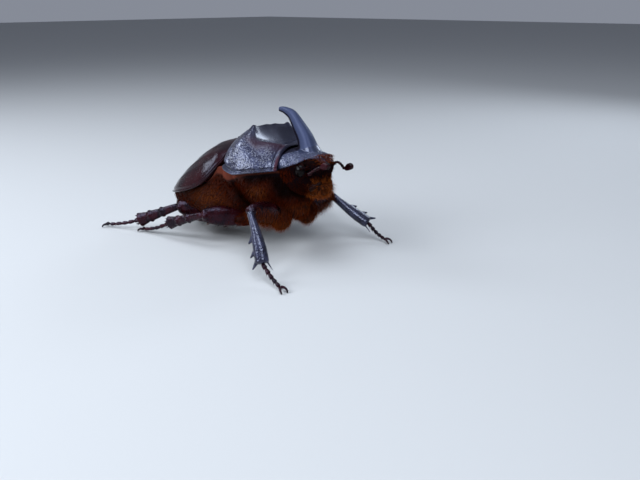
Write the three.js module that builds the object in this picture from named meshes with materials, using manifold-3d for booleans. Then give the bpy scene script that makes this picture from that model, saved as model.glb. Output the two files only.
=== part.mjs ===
// Male European rhinoceros beetle, life size, standing on its six feet with its front raised.
// Millimetres, +Z up, +X is the way it faces and +Y is its left side; the floor is z = 0.
//
// The trunk is modelled in a frame of its own: x = 0 where the pronotum meets the elytra,
// z = 0 at the pronotum's side margin. The legs are modelled on the floor, in the outer frame.

import * as THREE from 'three';
import { mergeVertices } from 'three/addons/utils/BufferGeometryUtils.js';
import Module from 'manifold-3d';

const wasm = await Module();
wasm.setup();

// ---------------------------------------------------------------- driving dimensions

const GAP = 0.12; // clear space left between neighbouring plates and joints

const TRUNK = { height: 12.4, pitch: 13, roll: 4 };

const PRONOTUM = {
  rear: -0.3,
  front: 9.6,
  widestAt: 2.6,
  halfWidth: 8.5,
  crestAt: 4.3,
  baseHeight: 4.7,
  crestHeight: 6.2,
  collarHeight: 2.2,
  sideLevel: -0.6,
  frontLevel: -0.8,
  hindCorner: 3.7,
  hindLift: 1.9,
  recess: 0.35,
  bowlAt: 6.5,
  bowlHeight: 2.95,
  bowlSteepness: 0.75,
  toothSpread: 3.7,
  toothHeight: 0.4,
};

const ELYTRA = {
  base: -0.8,
  apex: -18.3,
  widestAt: -6.5,
  halfWidth: 8.9,
  sideLevel: -2.55,
  shoulderLift: 6,
  shoulderRun: 2.3,
  crownAt: -4,
  crown: 4.85,
  baseCrown: 4.1,
  tail: -2.5,
};

const SCUTELLUM = { front: -0.95, length: 2.6, halfWidth: 1.8, thickness: 0.9 };

// Underside of the trunk at a few stations.
const PROTHORAX = [
  { x: 0.3, halfWidth: 7, bottom: -7.2 },
  { x: 2.5, halfWidth: 7.4, bottom: -7.6 },
  { x: 5.5, halfWidth: 7.1, bottom: -8.1 },
  { x: 8.2, halfWidth: 5.6, bottom: -8 },
  { x: 9.5, halfWidth: 4.4, bottom: -6.5 },
];
const HIND_THORAX = [
  { x: -8.1, halfWidth: 8, bottom: -8.6 },
  { x: -5, halfWidth: 8, bottom: -9 },
  { x: -2, halfWidth: 7.6, bottom: -8.7 },
  { x: 0.05, halfWidth: 7, bottom: -7.2 },
];
const ABDOMEN = [
  { x: -16.6, halfWidth: 4.8, bottom: -7.8 },
  { x: -14, halfWidth: 6.7, bottom: -8.3 },
  { x: -11, halfWidth: 7.7, bottom: -8.7 },
  { x: -8.25, halfWidth: 8, bottom: -8.6 },
];
const PYGIDIUM = { centre: [-16.6, 0, -5.25], radii: [2.5, 4.6, 2.6] };

// The head from neck to clypeus: half width and height of the ridge over the eye, height of
// the crown, half width of the cheek below the ridge, and the chin's height.
const HEAD = [
  { x: 9.75, ridge: 4.5, level: -0.45, crown: 2.2, cheek: 4.1, chin: -5 },
  { x: 10.6, ridge: 4.55, level: -0.3, crown: 2.15, cheek: 4.2, chin: -5.2 },
  { x: 11.4, ridge: 4.2, level: -0.2, crown: 1.9, cheek: 3.9, chin: -5.1 },
  { x: 12.2, ridge: 3.6, level: -0.05, crown: 1.6, cheek: 3.4, chin: -4.8 },
  { x: 13, ridge: 2.95, level: 0.3, crown: 1.35, cheek: 2.9, chin: -4.5 },
  { x: 13.7, ridge: 2.4, level: 0.45, crown: 1.1, cheek: 2.4, chin: -4 },
  { x: 14.2, ridge: 2, level: 0.45, crown: 0.9, cheek: 2, chin: -3.4 },
  { x: 14.7, ridge: 1.65, level: 0.2, crown: 0.5, cheek: 1.6, chin: -2.8 },
  { x: 15.15, ridge: 1.25, level: -0.4, crown: -0.2, cheek: 1.25, chin: -2.2 },
];

// The horn from its root in the head up and back to its tip.
const HORN = [
  { x: 12, z: -0.6, halfDepth: 2.3, halfWidth: 2 },
  { x: 11.85, z: 0.6, halfDepth: 1.95, halfWidth: 1.65 },
  { x: 11.6, z: 1.8, halfDepth: 1.55, halfWidth: 1.3 },
  { x: 11.25, z: 3.4, halfDepth: 1.25, halfWidth: 1.02 },
  { x: 10.35, z: 5.15, halfDepth: 1.02, halfWidth: 0.82 },
  { x: 9.3, z: 6.95, halfDepth: 0.78, halfWidth: 0.62 },
  { x: 8.2, z: 7.75, halfDepth: 0.58, halfWidth: 0.47 },
  { x: 7.4, z: 8.1, halfDepth: 0.45, halfWidth: 0.37 },
  { x: 6.6, z: 8.27, halfDepth: 0.3, halfWidth: 0.28 },
];
const HORN_FOOT = { at: [11.6, 0, 1.8], way: [-0.2, 0, 1] }; // where horn and head are parted

// The left antenna is held out past the brow, the right one folded along the cheek.
const ANTENNAE = {
  left: {
    stalk: [[12.6, 3.4, -1.6], [13, 3.9, -0.8], [13.8, 4.1, -0.9], [14.3, 4.6, -2]],
    club: [1, 0.45, 0.45],
  },
  right: {
    stalk: [[13.3, -2.4, -1.9], [14.1, -3.05, -1.75], [15.0, -2.85, -1.3], [15.7, -2.35, -1]],
    club: [1.1, 0.4, 0.12],
  },
};

const EYE = { x: 12.3, y: 3, z: -1.15, radii: [1, 0.85, 0.95] };

const COLOURS = {
  shell: 0x1a0c0a,
  elytra: 0x2b0d09,
  horn: 0x1b1418,
  under: 0x5a2410,
  leg: 0x2a0f0c,
  tibia: 0x17101a,
  eye: 0x050505,
  antenna: 0x5c1d10,
};

// Each pair's hip in the trunk's frame, and the sizes of its segments.
const PAIRS = {
  fore: {
    hip: [6.8, 2.8, -7.8],
    coxa: [1.5, 2, 2],
    femur: { depth: 1.6, thickness: 1.05 },
    tibia: { width: 2.2, thickness: 0.75 },
  },
  middle: {
    hip: [-1.5, 2.8, -8],
    coxa: [1.4, 2.1, 1.2],
    femur: { depth: 1.7, thickness: 0.95 },
    tibia: { width: 1.25, thickness: 0.8 },
  },
  hind: {
    hip: [-7, 3, -7.7],
    coxa: [1.6, 2.3, 1.1],
    femur: { depth: 1.8, thickness: 1 },
    tibia: { width: 1.4, thickness: 0.85 },
  },
};

// Joints of the six legs on the floor's frame; teeth is the way a fore tibia's teeth point.
const LEGS = [
  {
    pair: 'fore',
    side: 'right',
    knee: [8.95, -10.3, 9.2],
    ankle: [12.85, -11.8, 2.2],
    foot: [17.1, -12.9],
    teeth: [-0.8, -0.6, 0],
  },
  {
    pair: 'fore',
    side: 'left',
    knee: [7.3, 9.8, 6.9],
    ankle: [13.6, 12.3, 2.5],
    foot: [16.6, 12.2],
    teeth: [-0.2, 0.7, 0.6],
  },
  { pair: 'middle', side: 'right', knee: [-3.4, -9, 5.6], ankle: [-11.3, -9.8, 2.8], foot: [-17.1, -10.6] },
  { pair: 'middle', side: 'left', knee: [-0.3, 9.6, 6.2], ankle: [-3.6, 16.2, 2.2], foot: [-6, 21.2] },
  { pair: 'hind', side: 'right', knee: [-11.3, -7.6, 5.2], ankle: [-18.7, -10.6, 1.9], foot: [-24, -13] },
  { pair: 'hind', side: 'left', knee: [-11, 8.2, 5.2], ankle: [-17, 13.6, 2], foot: [-22, 17.4] },
];

// ---------------------------------------------------------------- frames and small maths

const trunkTurn = new THREE.Euler(
  THREE.MathUtils.degToRad(-TRUNK.roll),
  THREE.MathUtils.degToRad(-TRUNK.pitch),
  0,
  'YXZ',
);
const trunkPose = new THREE.Matrix4().makeRotationFromEuler(trunkTurn).setPosition(0, 0, TRUNK.height);
const trunkInverse = trunkPose.clone().invert();

const vec = (p) => new THREE.Vector3(...p);
const lerp = THREE.MathUtils.lerp;
const clamp01 = (v) => Math.min(1, Math.max(0, v));
const smooth01 = (v) => THREE.MathUtils.smoothstep(v, 0, 1);

/** The lower of a and b, with the crease between them rounded over about the given width. */
function softMin(a, b, width) {
  const h = Math.max(width - Math.abs(a - b), 0) / width;
  return Math.min(a, b) - (h * h * width) / 4;
}

/** A round hump of the given height and radius, r away from its centre. */
function hump(r, height, radius) {
  return height * Math.exp(-((r / radius) ** 2));
}

// ---------------------------------------------------------------- closed bodies

/** A closed body from rings of equal count; each end is closed by a fan to its centre. */
function loft(rings) {
  const count = rings[0].length;
  const points = rings.flat();
  const faces = [];
  for (let i = 0; i + 1 < rings.length; i += 1) {
    for (let j = 0; j < count; j += 1) {
      const k = (j + 1) % count;
      const a = i * count;
      const b = a + count;
      faces.push([a + j, a + k, b + k], [a + j, b + k, b + j]);
    }
  }
  const lastStart = (rings.length - 1) * count;
  for (const [start, flip] of [[0, true], [lastStart, false]]) {
    const centre = new THREE.Vector3();
    for (let j = 0; j < count; j += 1) centre.addScaledVector(points[start + j], 1 / count);
    points.push(centre);
    for (let j = 0; j < count; j += 1) {
      const k = start + ((j + 1) % count);
      faces.push(flip ? [points.length - 1, k, start + j] : [points.length - 1, start + j, k]);
    }
  }
  return closedBody(points, faces);
}

/** A BufferGeometry of points and triangles, turned so that its faces point outward. */
function closedBody(points, faces) {
  let volume = 0;
  for (const [a, b, c] of faces) {
    volume += points[a].dot(new THREE.Vector3().crossVectors(points[b], points[c]));
  }
  const index = volume > 0 ? faces.flat() : faces.map(([a, b, c]) => [a, c, b]).flat();
  const geometry = new THREE.BufferGeometry().setFromPoints(points);
  geometry.setIndex(index);
  return geometry;
}

function toManifold(geometry) {
  const bare = geometry.clone();
  bare.deleteAttribute('normal');
  bare.deleteAttribute('uv');
  const merged = mergeVertices(bare, 1e-4);
  const mesh = new wasm.Mesh({
    numProp: 3,
    vertProperties: new Float32Array(merged.attributes.position.array),
    triVerts: new Uint32Array(merged.index.array),
  });
  return new wasm.Manifold(mesh);
}

function fromManifold(manifold) {
  const mesh = manifold.getMesh();
  const geometry = new THREE.BufferGeometry();
  geometry.setAttribute('position', new THREE.BufferAttribute(new Float32Array(mesh.vertProperties), 3));
  geometry.setIndex(new THREE.BufferAttribute(new Uint32Array(mesh.triVerts), 1));
  return geometry;
}

function cutBy(geometry, cutters) {
  let manifold = toManifold(geometry);
  for (const cutter of cutters) manifold = manifold.subtract(toManifold(cutter));
  return fromManifold(manifold);
}

function joined(geometries) {
  const [first, ...rest] = geometries.map(toManifold);
  return fromManifold(rest.reduce((sum, next) => sum.add(next), first));
}

/** Points of an ellipse-like ring round a centre, in the plane of two unit axes. */
function ringAt(centre, across, over, halfAcross, halfOver, count, roundness = 2) {
  const ring = [];
  for (let j = 0; j < count; j += 1) {
    const angle = (j / count) * 2 * Math.PI;
    const c = Math.cos(angle);
    const s = Math.sin(angle);
    const reach = (Math.abs(c) ** roundness + Math.abs(s) ** roundness) ** (-1 / roundness);
    const point = centre.clone().addScaledVector(across, c * reach * halfAcross);
    ring.push(point.addScaledVector(over, s * reach * halfOver));
  }
  return ring;
}

/** A body along a curve; size(t) gives its half width along `broad` and its half thickness. */
function sweep(curve, broad, steps, count, size) {
  const rings = [];
  for (let i = 0; i <= steps; i += 1) {
    const t = i / steps;
    const along = curve.getTangent(t);
    const over = new THREE.Vector3().crossVectors(along, broad).normalize();
    const across = new THREE.Vector3().crossVectors(over, along).normalize();
    const [halfAcross, halfOver] = size(t);
    rings.push(ringAt(curve.getPoint(t), across, over, halfAcross, halfOver, count));
  }
  return loft(rings);
}

function ellipsoid(centre, radii, width = 12, height = 8, grow = 0) {
  const geometry = new THREE.SphereGeometry(1, width, height);
  geometry.scale(radii[0] + grow, radii[1] + grow, radii[2] + grow);
  geometry.translate(centre.x, centre.y, centre.z);
  return geometry;
}

function floorToTrunk(geometry) {
  return geometry.clone().applyMatrix4(trunkInverse);
}

// ---------------------------------------------------------------- pronotum

function pronotumHalfWidth(x) {
  const { widestAt, halfWidth } = PRONOTUM;
  const behind = Math.min((widestAt - x) / 3.25, 0.97);
  if (behind > 0) return halfWidth * (1 - behind ** 2.6) ** (1 / 2.6);
  return halfWidth * (1 - ((x - widestAt) / 10.9) ** 2.2);
}

function pronotumMargin(x) {
  const { crestAt, front, rear, sideLevel, frontLevel, hindCorner, hindLift } = PRONOTUM;
  const lift = hindLift * clamp01((hindCorner - x) / (hindCorner - rear)) ** 1.2;
  return sideLevel + lift + (frontLevel - sideLevel) * clamp01((x - crestAt) / (front - crestAt)) ** 1.5;
}

/** Height of the pronotum: a dome, hollowed in front of its crest, with blunt teeth. */
function pronotumTop(x, y) {
  const p = PRONOTUM;
  const rearRise = 1 - clamp01((p.crestAt - x) / (p.crestAt - p.rear)) ** 2;
  const frontFall = clamp01((x - p.crestAt) / (p.front - p.crestAt)) ** 2;
  const spine = lerp(p.baseHeight, p.crestHeight, rearRise) - (p.crestHeight - p.collarHeight) * frontFall;
  const s = clamp01(Math.abs(y) / pronotumHalfWidth(x));
  const margin = pronotumMargin(x);
  const arch = lerp(2.5, 2.1, frontFall) + hump(x - p.crestAt, 1.2, 1.6);
  const dome = margin + (spine - margin) * (1 - s ** arch) ** lerp(0.75, 0.72, frontFall);
  const wall = Math.max(0, p.bowlAt - x);
  const bowl = p.bowlHeight + p.bowlSteepness * wall ** 2 + 0.04 * y * y - 0.1 * (x - p.bowlAt);
  const sideTooth = hump(Math.hypot(x - p.crestAt - 0.1, Math.abs(y) - p.toothSpread), p.toothHeight, 0.5);
  const middleTeeth = hump(Math.hypot(x - p.crestAt, (Math.abs(y) - 0.9) * 0.8), 0.1, 0.5);
  const edge = lerp(0.35, 1.6, smooth01((Math.abs(y) - 3.6) / 2));
  return softMin(dome, bowl, edge) + sideTooth + middleTeeth;
}

// Stations of the pronotum, closest where it falls away in front of the crest.
const PRONOTUM_ROWS = [
  -0.3, 0.1, 0.7, 1.5, 2.3, 3.1, 3.8, 4.3, 4.55, 4.8, 5.1, 5.5, 5.9, 6.4, 7, 7.7, 8.4, 9, 9.6,
];

function pronotum() {
  const columns = 20;
  const rings = [];
  for (const x of PRONOTUM_ROWS) {
    const halfWidth = pronotumHalfWidth(x);
    const ring = [];
    for (let j = 0; j <= columns; j += 1) {
      const y = halfWidth * Math.sin((j / columns - 0.5) * Math.PI);
      const edge = j === 0 || j === columns;
      const at = x - PRONOTUM.recess * (1 - (y / halfWidth) ** 2);
      ring.push(new THREE.Vector3(at, y, edge ? pronotumMargin(x) : pronotumTop(at, y)));
    }
    rings.push(ring);
  }
  return loft(rings);
}

// ---------------------------------------------------------------- elytra and scutellum

function elytraHalfWidth(x) {
  const { widestAt, halfWidth, apex } = ELYTRA;
  if (x > widestAt) return halfWidth * (1 - ((x - widestAt) / 6.5) ** 3) ** (1 / 3);
  return halfWidth * Math.sqrt(1 - ((widestAt - x) / (widestAt - apex + 0.15)) ** 2);
}

function elytraMargin(x) {
  return ELYTRA.sideLevel + ELYTRA.shoulderLift * Math.exp(x / ELYTRA.shoulderRun);
}

/** Height of the elytra, with the shoulder's knob on each side. */
function elytraTop(x, y) {
  const { base, apex, crownAt, crown, baseCrown, tail } = ELYTRA;
  const front = clamp01((x - crownAt) / (base - crownAt)) ** 2;
  const rear = clamp01((crownAt - x) / (crownAt - apex)) ** 1.45;
  const spine = x > crownAt ? lerp(crown, baseCrown, front) : lerp(crown, tail, rear);
  const s = clamp01(Math.abs(y) / elytraHalfWidth(x));
  const margin = elytraMargin(x);
  const knob = hump(Math.hypot(x + 2.1, Math.abs(y) - 5.8), 0.25, 1);
  return margin + (spine - margin) * (1 - s ** 2.3) ** 0.7 + knob;
}

/** One wing case; side is +1 for the left one. */
function elytron(side) {
  const rows = 15;
  const columns = 8;
  const rings = [];
  for (let i = 0; i <= rows; i += 1) {
    const x = lerp(ELYTRA.base, ELYTRA.apex, Math.sin((i / rows) * Math.PI * 0.5));
    const halfWidth = elytraHalfWidth(x);
    const floor = elytraMargin(x);
    const ring = [new THREE.Vector3(x, (side * GAP) / 2, floor)];
    for (let j = 0; j <= columns; j += 1) {
      const y = Math.max(GAP / 2, halfWidth * Math.sin((j / columns) * 0.5 * Math.PI));
      ring.push(new THREE.Vector3(x, side * y, j === columns ? floor : elytraTop(x, y) + 0.02));
    }
    rings.push(ring);
  }
  return loft(rings);
}

/** The small shield between the bases of the elytra. */
function scutellum(grow = 0) {
  const rings = [];
  const steps = 4;
  for (let i = 0; i <= steps; i += 1) {
    const t = i / steps;
    const x = SCUTELLUM.front + grow - t * (SCUTELLUM.length + 2 * grow);
    const halfWidth = SCUTELLUM.halfWidth * (1 - 0.85 * t ** 1.3) + grow;
    const top = elytraTop(x, 0) + 0.12 + grow;
    const ring = [];
    for (let j = 0; j <= 6; j += 1) {
      const s = j / 3 - 1;
      ring.push(new THREE.Vector3(x, s * halfWidth, top - 0.3 * s * s));
    }
    ring.push(new THREE.Vector3(x, halfWidth, top - SCUTELLUM.thickness - 2 * grow));
    ring.push(new THREE.Vector3(x, -halfWidth, top - SCUTELLUM.thickness - 2 * grow));
    rings.push(ring);
  }
  return loft(rings);
}

// ---------------------------------------------------------------- underside of the trunk

/** A keel-shaped body under a flat-topped plate, its sizes given at a few stations. */
function keel(stations, topAt, rows) {
  const columns = 10;
  const roundness = 1.9;
  const table = stations.map((s) => new THREE.Vector3(s.x, s.halfWidth, s.bottom));
  const curve = new THREE.CatmullRomCurve3(table);
  const rings = [];
  for (let i = 0; i <= rows; i += 1) {
    const { x, y: halfWidth, z: bottom } = curve.getPoint(i / rows);
    const top = topAt(x) - 1.5 * GAP;
    const ring = [];
    for (let j = 0; j <= columns; j += 1) {
      const angle = (j / columns) * Math.PI;
      const c = Math.cos(angle);
      const s = Math.sin(angle);
      const reach = (Math.abs(c) ** roundness + s ** roundness) ** (-1 / roundness);
      ring.push(new THREE.Vector3(x, c * reach * halfWidth, top + (bottom - top) * s * reach));
    }
    rings.push(ring);
  }
  return loft(rings);
}

/** The rounded end plate that closes the abdomen under the tips of the elytra. */
function pygidium(grow = 0) {
  return ellipsoid(vec(PYGIDIUM.centre), PYGIDIUM.radii, 10, 6, grow);
}

// ---------------------------------------------------------------- head

/** The crown slopes to a ridge on each side; the cheeks tuck in below it. */
function headBody() {
  const columns = 16;
  const rings = HEAD.map(({ x, ridge, level, crown, cheek, chin }) => {
    const fullness = lerp(0.95, 1.5, smooth01((x - 9.8) / 2.4));
    const ring = [];
    for (let j = 0; j < columns; j += 1) {
      const angle = (j / columns) * 2 * Math.PI;
      const c = Math.cos(angle);
      const s = Math.abs(Math.sin(angle));
      const below = j > columns / 2;
      const half = below ? cheek * (1 + 0.12 * (1 - c * c)) : ridge;
      const z = below ? level + (chin - level) * s ** 0.9 : level + (crown - level) * s ** fullness;
      ring.push(new THREE.Vector3(x, c * half, z));
    }
    return ring;
  });
  return loft(rings);
}

function eye(side, grow = 0) {
  return ellipsoid(new THREE.Vector3(EYE.x, side * EYE.y, EYE.z), EYE.radii, 9, 6, grow);
}

/** A horn with flat sides, leaning back. */
function hornBody() {
  const line = new THREE.CatmullRomCurve3(HORN.map(({ x, z }) => new THREE.Vector3(x, 0, z)));
  const broad = new THREE.Vector3(1, 0, 0.15);
  const rings = HORN.map(({ halfDepth, halfWidth }, i) => {
    const t = i / (HORN.length - 1);
    const over = new THREE.Vector3().crossVectors(line.getTangent(t), broad).normalize();
    const across = new THREE.Vector3().crossVectors(over, line.getTangent(t)).normalize();
    return ringAt(line.getPoint(t), across, over, halfDepth, halfWidth, 10, 2.6);
  });
  return loft(rings);
}

/** A block standing on the horn's foot plane, above it or (side -1) below it. */
function footBlock(side, grow = 0) {
  const block = new THREE.BoxGeometry(60, 60, 40).translate(0, 0, side * (20 - grow));
  const up = new THREE.Vector3(0, 0, 1);
  const turn = new THREE.Quaternion().setFromUnitVectors(up, vec(HORN_FOOT.way).normalize());
  return block.applyQuaternion(turn).translate(...HORN_FOOT.at);
}

/** Head and horn are modelled in one and parted at the horn's foot. */
function skull(side) {
  return cutBy(joined([headBody(), hornBody()]), [footBlock(-side, side > 0 ? 0 : GAP)]);
}

function mandible(side) {
  const line = new THREE.CatmullRomCurve3([
    new THREE.Vector3(12.6, side * 2.2, -4.3),
    new THREE.Vector3(13.7, side * 2.1, -3.9),
    new THREE.Vector3(14.6, side * 1.2, -3.4),
  ]);
  const body = sweep(line, new THREE.Vector3(0, 0, 1), 4, 6, (t) => [0.5 - 0.15 * t, 0.55 - 0.15 * t]);
  return cutBy(body, [headBody(), mouthparts(GAP)]);
}

/** Lower lip and the two pairs of palps, all one piece. */
function mouthparts(grow = 0) {
  const pieces = [ellipsoid(new THREE.Vector3(12.8, 0, -4.7), [1.9, 1.6, 1.25], 9, 6, grow)];
  for (const side of [-1, 1]) {
    const line = new THREE.CatmullRomCurve3([
      new THREE.Vector3(12.8, side * 0.9, -4.8),
      new THREE.Vector3(13.8, side * 1.3, -4.7),
      new THREE.Vector3(14.4, side * 1.1, -4.2),
    ]);
    const size = (t) => [0.28 + 0.08 * t + grow, 0.28 + 0.08 * t + grow];
    pieces.push(sweep(line, new THREE.Vector3(0, 0, 1), 4, 5, size));
  }
  return joined(pieces);
}

/** Jointed stalk and the club of three leaves, fanned out. */
function antenna(word) {
  const { stalk, club } = ANTENNAE[word];
  const line = new THREE.CatmullRomCurve3(stalk.map(vec));
  const up = new THREE.Vector3(0, 0, 1);
  const pieces = [
    sweep(line, up, 8, 5, (t) => {
      const bead = 0.26 + 0.06 * Math.abs(Math.sin(t * 6 * Math.PI));
      return [bead, bead];
    }),
  ];
  const reach = vec(club);
  const root = line.getPoint(0.97);
  const fan = new THREE.Vector3().crossVectors(reach, up).normalize();
  for (const leaf of [-1, 0, 1]) {
    const tip = root.clone().add(reach).addScaledVector(fan, 0.5 * leaf);
    const leafLine = new THREE.LineCurve3(root.clone().addScaledVector(fan, 0.1 * leaf), tip);
    pieces.push(sweep(leafLine, up, 3, 5, (t) => [0.27 + 0.2 * Math.sin(t * 2.6), 0.26]));
  }
  return joined(pieces);
}

// ---------------------------------------------------------------- legs

const hipOf = (leg) => {
  const [x, y, z] = PAIRS[leg.pair].hip;
  return new THREE.Vector3(x, leg.side === 'left' ? y : -y, z).applyMatrix4(trunkPose);
};

function coxa(leg, grow = 0) {
  return ellipsoid(hipOf(leg), PAIRS[leg.pair].coxa, 7, 5, grow);
}

function femur(leg, grow = 0) {
  const { depth, thickness } = PAIRS[leg.pair].femur;
  const line = new THREE.LineCurve3(hipOf(leg), vec(leg.knee));
  return sweep(line, new THREE.Vector3(0, 0, 1), 6, 8, (t) => {
    const belly = Math.sin(Math.PI * (0.12 + 0.8 * t)) ** 0.6;
    return [depth * belly + grow, thickness * belly + grow];
  });
}

/** Flat digging blade with three teeth on its outer edge, laid out along +X, teeth toward +Y. */
function foreTibiaBlade(length, width, thickness) {
  const outline = new THREE.Shape();
  const half = (t) => width * lerp(0.25, 0.46, smooth01((t - 0.1) / 0.7));
  outline.moveTo(0, -half(0));
  for (const t of [0.35, 0.6, 0.8]) outline.lineTo(length * t, -half(t) - 0.07 * width * (1 - t));
  outline.lineTo(length, -half(1));
  outline.lineTo(length * 1.02, half(1) * 0.6);
  for (const [at, size] of [[1, 1.35], [0.83, 1.25], [0.6, 1]]) {
    const root = length * at - 0.9;
    outline.lineTo(root + size * 0.95, 0.4 + size * 0.9);
    outline.lineTo(root + size * 0.55, 0.4 + size * 0.85);
    outline.lineTo(root - 0.1, half(at) * 0.92);
  }
  outline.lineTo(length * 0.2, half(0.2));
  outline.lineTo(0, half(0));
  outline.closePath();
  const bevel = thickness * 0.45;
  const blade = new THREE.ExtrudeGeometry(outline, {
    depth: thickness * 2 - bevel * 2,
    bevelEnabled: true,
    bevelThickness: bevel,
    bevelSize: bevel * 0.6,
    bevelOffset: -bevel * 0.3,
    bevelSegments: 1,
    steps: 1,
  });
  blade.translate(0, 0, -(thickness - bevel));
  return blade;
}

function foreTibia(leg, knee, ankle) {
  const { width, thickness } = PAIRS.fore.tibia;
  const along = ankle.clone().sub(knee).normalize();
  const over = new THREE.Vector3().crossVectors(along, vec(leg.teeth)).normalize();
  const across = new THREE.Vector3().crossVectors(over, along).normalize();
  const blade = foreTibiaBlade(knee.distanceTo(ankle) - 3 * GAP, width, thickness);
  return blade.applyMatrix4(new THREE.Matrix4().makeBasis(along, across, over).setPosition(knee));
}

/** Middle and hind tibiae: a flaring shank with two toothed rings and end spurs. */
function rearTibia(leg, knee, ankle) {
  const { width, thickness } = PAIRS[leg.pair].tibia;
  const along = ankle.clone().sub(knee);
  const length = along.length() - GAP;
  along.normalize();
  const up = new THREE.Vector3(0, 0, 1);
  const end = knee.clone().addScaledVector(along, length);
  const flare = (t) => 0.45 + 0.35 * t + 0.2 * t ** 8;
  const size = (t) => [width * flare(t), thickness * flare(t)];
  const shank = sweep(new THREE.LineCurve3(knee, end), up, 5, 7, size);
  const over = new THREE.Vector3().crossVectors(along, up).normalize();
  const across = new THREE.Vector3().crossVectors(over, along).normalize();
  const spine = (t, angle, reach) => {
    const out = across.clone().multiplyScalar(Math.cos(angle)).addScaledVector(over, Math.sin(angle));
    const root = knee.clone().addScaledVector(along, length * t);
    root.addScaledVector(out, width * flare(t) * 0.55);
    const tip = root.clone().addScaledVector(out, reach * 0.62).addScaledVector(along, reach);
    const taper = (u) => [lerp(0.34, 0.1, u), lerp(0.34, 0.1, u)];
    return sweep(new THREE.LineCurve3(root, tip), along, 1, 4, taper);
  };
  const spines = [];
  for (const t of [0.4, 0.7]) {
    for (const angle of [-0.9, 0.1]) spines.push(spine(t, angle, 0.75));
  }
  for (const angle of [2.4, 3.6]) spines.push(spine(0.95, angle, 1.2));
  return joined([shank, ...spines]);
}

/** Curve of a foot from the shank's end down to where the claws begin. */
function footLine(leg) {
  const from = vec(leg.ankle);
  const to = new THREE.Vector3(leg.foot[0], leg.foot[1], 0.62);
  const middle = from.clone().lerp(to, 0.5);
  middle.z = lerp(from.z, to.z, 0.62);
  return new THREE.CatmullRomCurve3([from, middle, to]);
}

function tarsus(leg) {
  const line = footLine(leg);
  const joints = 5;
  const rings = [];
  for (let joint = 0; joint < joints; joint += 1) {
    for (const [within, radius] of [[0.05, 0.27], [0.8, 0.42]]) {
      const t = ((joint + within) / joints) * 1.02;
      const along = line.getTangent(t);
      const over = new THREE.Vector3().crossVectors(along, new THREE.Vector3(0, 0, 1)).normalize();
      const across = new THREE.Vector3().crossVectors(over, along).normalize();
      rings.push(ringAt(line.getPoint(t), across, over, radius, radius, 5));
    }
  }
  return loft(rings);
}

/** Two hooks from one root, their undersides flattened at the floor. */
function claws(leg) {
  const line = footLine(leg);
  const along = line.getTangent(1);
  along.z = 0;
  along.normalize();
  const sideways = new THREE.Vector3(-along.y, along.x, 0);
  const start = line.getPoint(1).addScaledVector(along, 0.2);
  const pieces = [];
  for (const side of [-1, 1]) {
    const at = (ahead, aside, z) =>
      start.clone().addScaledVector(along, ahead).addScaledVector(sideways, side * aside).setZ(z);
    const hook = new THREE.CatmullRomCurve3([
      at(0, 0.12, 0.62),
      at(0.6, 0.5, 0.68),
      at(1.1, 0.7, 0.42),
      at(1.4, 0.62, 0.05),
    ]);
    pieces.push(sweep(hook, new THREE.Vector3(0, 0, 1), 3, 5, (t) => [0.3 - 0.06 * t, 0.28 - 0.04 * t]));
  }
  const floor = new THREE.BoxGeometry(8, 8, 2).translate(start.x, start.y, -1);
  return cutBy(joined(pieces), [floor]);
}

// ---------------------------------------------------------------- assembly

function mesh(name, geometry, colour, roughness = 0.3) {
  const plain = geometry.clone();
  plain.computeVertexNormals();
  const material = new THREE.MeshStandardMaterial({ color: colour, roughness, metalness: 0 });
  const piece = new THREE.Mesh(plain, material);
  piece.name = name;
  return piece;
}

const thoraxTop = (x) => Math.min(elytraMargin(x), 0.85);

const trunk = new THREE.Group();
trunk.rotation.copy(trunkTurn);
trunk.position.z = TRUNK.height;

const limbCutters = LEGS.flatMap((leg) => [coxa(leg, GAP), femur(leg, GAP)]).map(floorToTrunk);
const tailCutters = [...limbCutters, pygidium(GAP)];
const sides = [['left', 1], ['right', -1]];

trunk.add(
  mesh('pronotum', pronotum(), COLOURS.shell, 0.25),
  mesh('scutellum', scutellum(), COLOURS.elytra),
  mesh('prothorax', cutBy(keel(PROTHORAX, pronotumMargin, 7), limbCutters), COLOURS.under, 0.6),
  mesh('hind_thorax', cutBy(keel(HIND_THORAX, thoraxTop, 6), limbCutters), COLOURS.under, 0.6),
  mesh('abdomen', cutBy(keel(ABDOMEN, elytraMargin, 8), tailCutters), COLOURS.under, 0.5),
  mesh('pygidium', pygidium(), COLOURS.under, 0.4),
  mesh('head', cutBy(skull(-1), sides.map(([, side]) => eye(side, GAP))), COLOURS.shell),
  mesh('horn', skull(1), COLOURS.horn),
  mesh('mouthparts', cutBy(mouthparts(), [headBody()]), COLOURS.antenna),
);
for (const [word, side] of sides) {
  trunk.add(
    mesh(`elytron_${word}`, cutBy(elytron(side), [scutellum(GAP)]), COLOURS.elytra),
    mesh(`eye_${word}`, eye(side), COLOURS.eye, 0.1),
    mesh(`mandible_${word}`, mandible(side), COLOURS.shell),
    mesh(`antenna_${word}`, cutBy(antenna(word), [headBody(), eye(side, GAP)]), COLOURS.antenna),
  );
}

const legs = new THREE.Group();
for (const leg of LEGS) {
  const name = `${leg.pair}_${leg.side}`;
  const knee = vec(leg.knee);
  const ankle = vec(leg.ankle);
  const shank = leg.pair === 'fore' ? foreTibia(leg, knee, ankle) : rearTibia(leg, knee, ankle);
  legs.add(
    mesh(`coxa_${name}`, coxa(leg), COLOURS.under, 0.5),
    mesh(`femur_${name}`, cutBy(femur(leg), [coxa(leg, GAP)]), COLOURS.leg),
    mesh(`tibia_${name}`, cutBy(shank, [femur(leg, GAP)]), COLOURS.tibia),
    mesh(`tarsus_${name}`, tarsus(leg), COLOURS.leg),
    mesh(`claws_${name}`, claws(leg), COLOURS.tibia),
  );
}

const beetle = new THREE.Group();
beetle.add(trunk, legs);
beetle.updateMatrixWorld(true);

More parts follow.
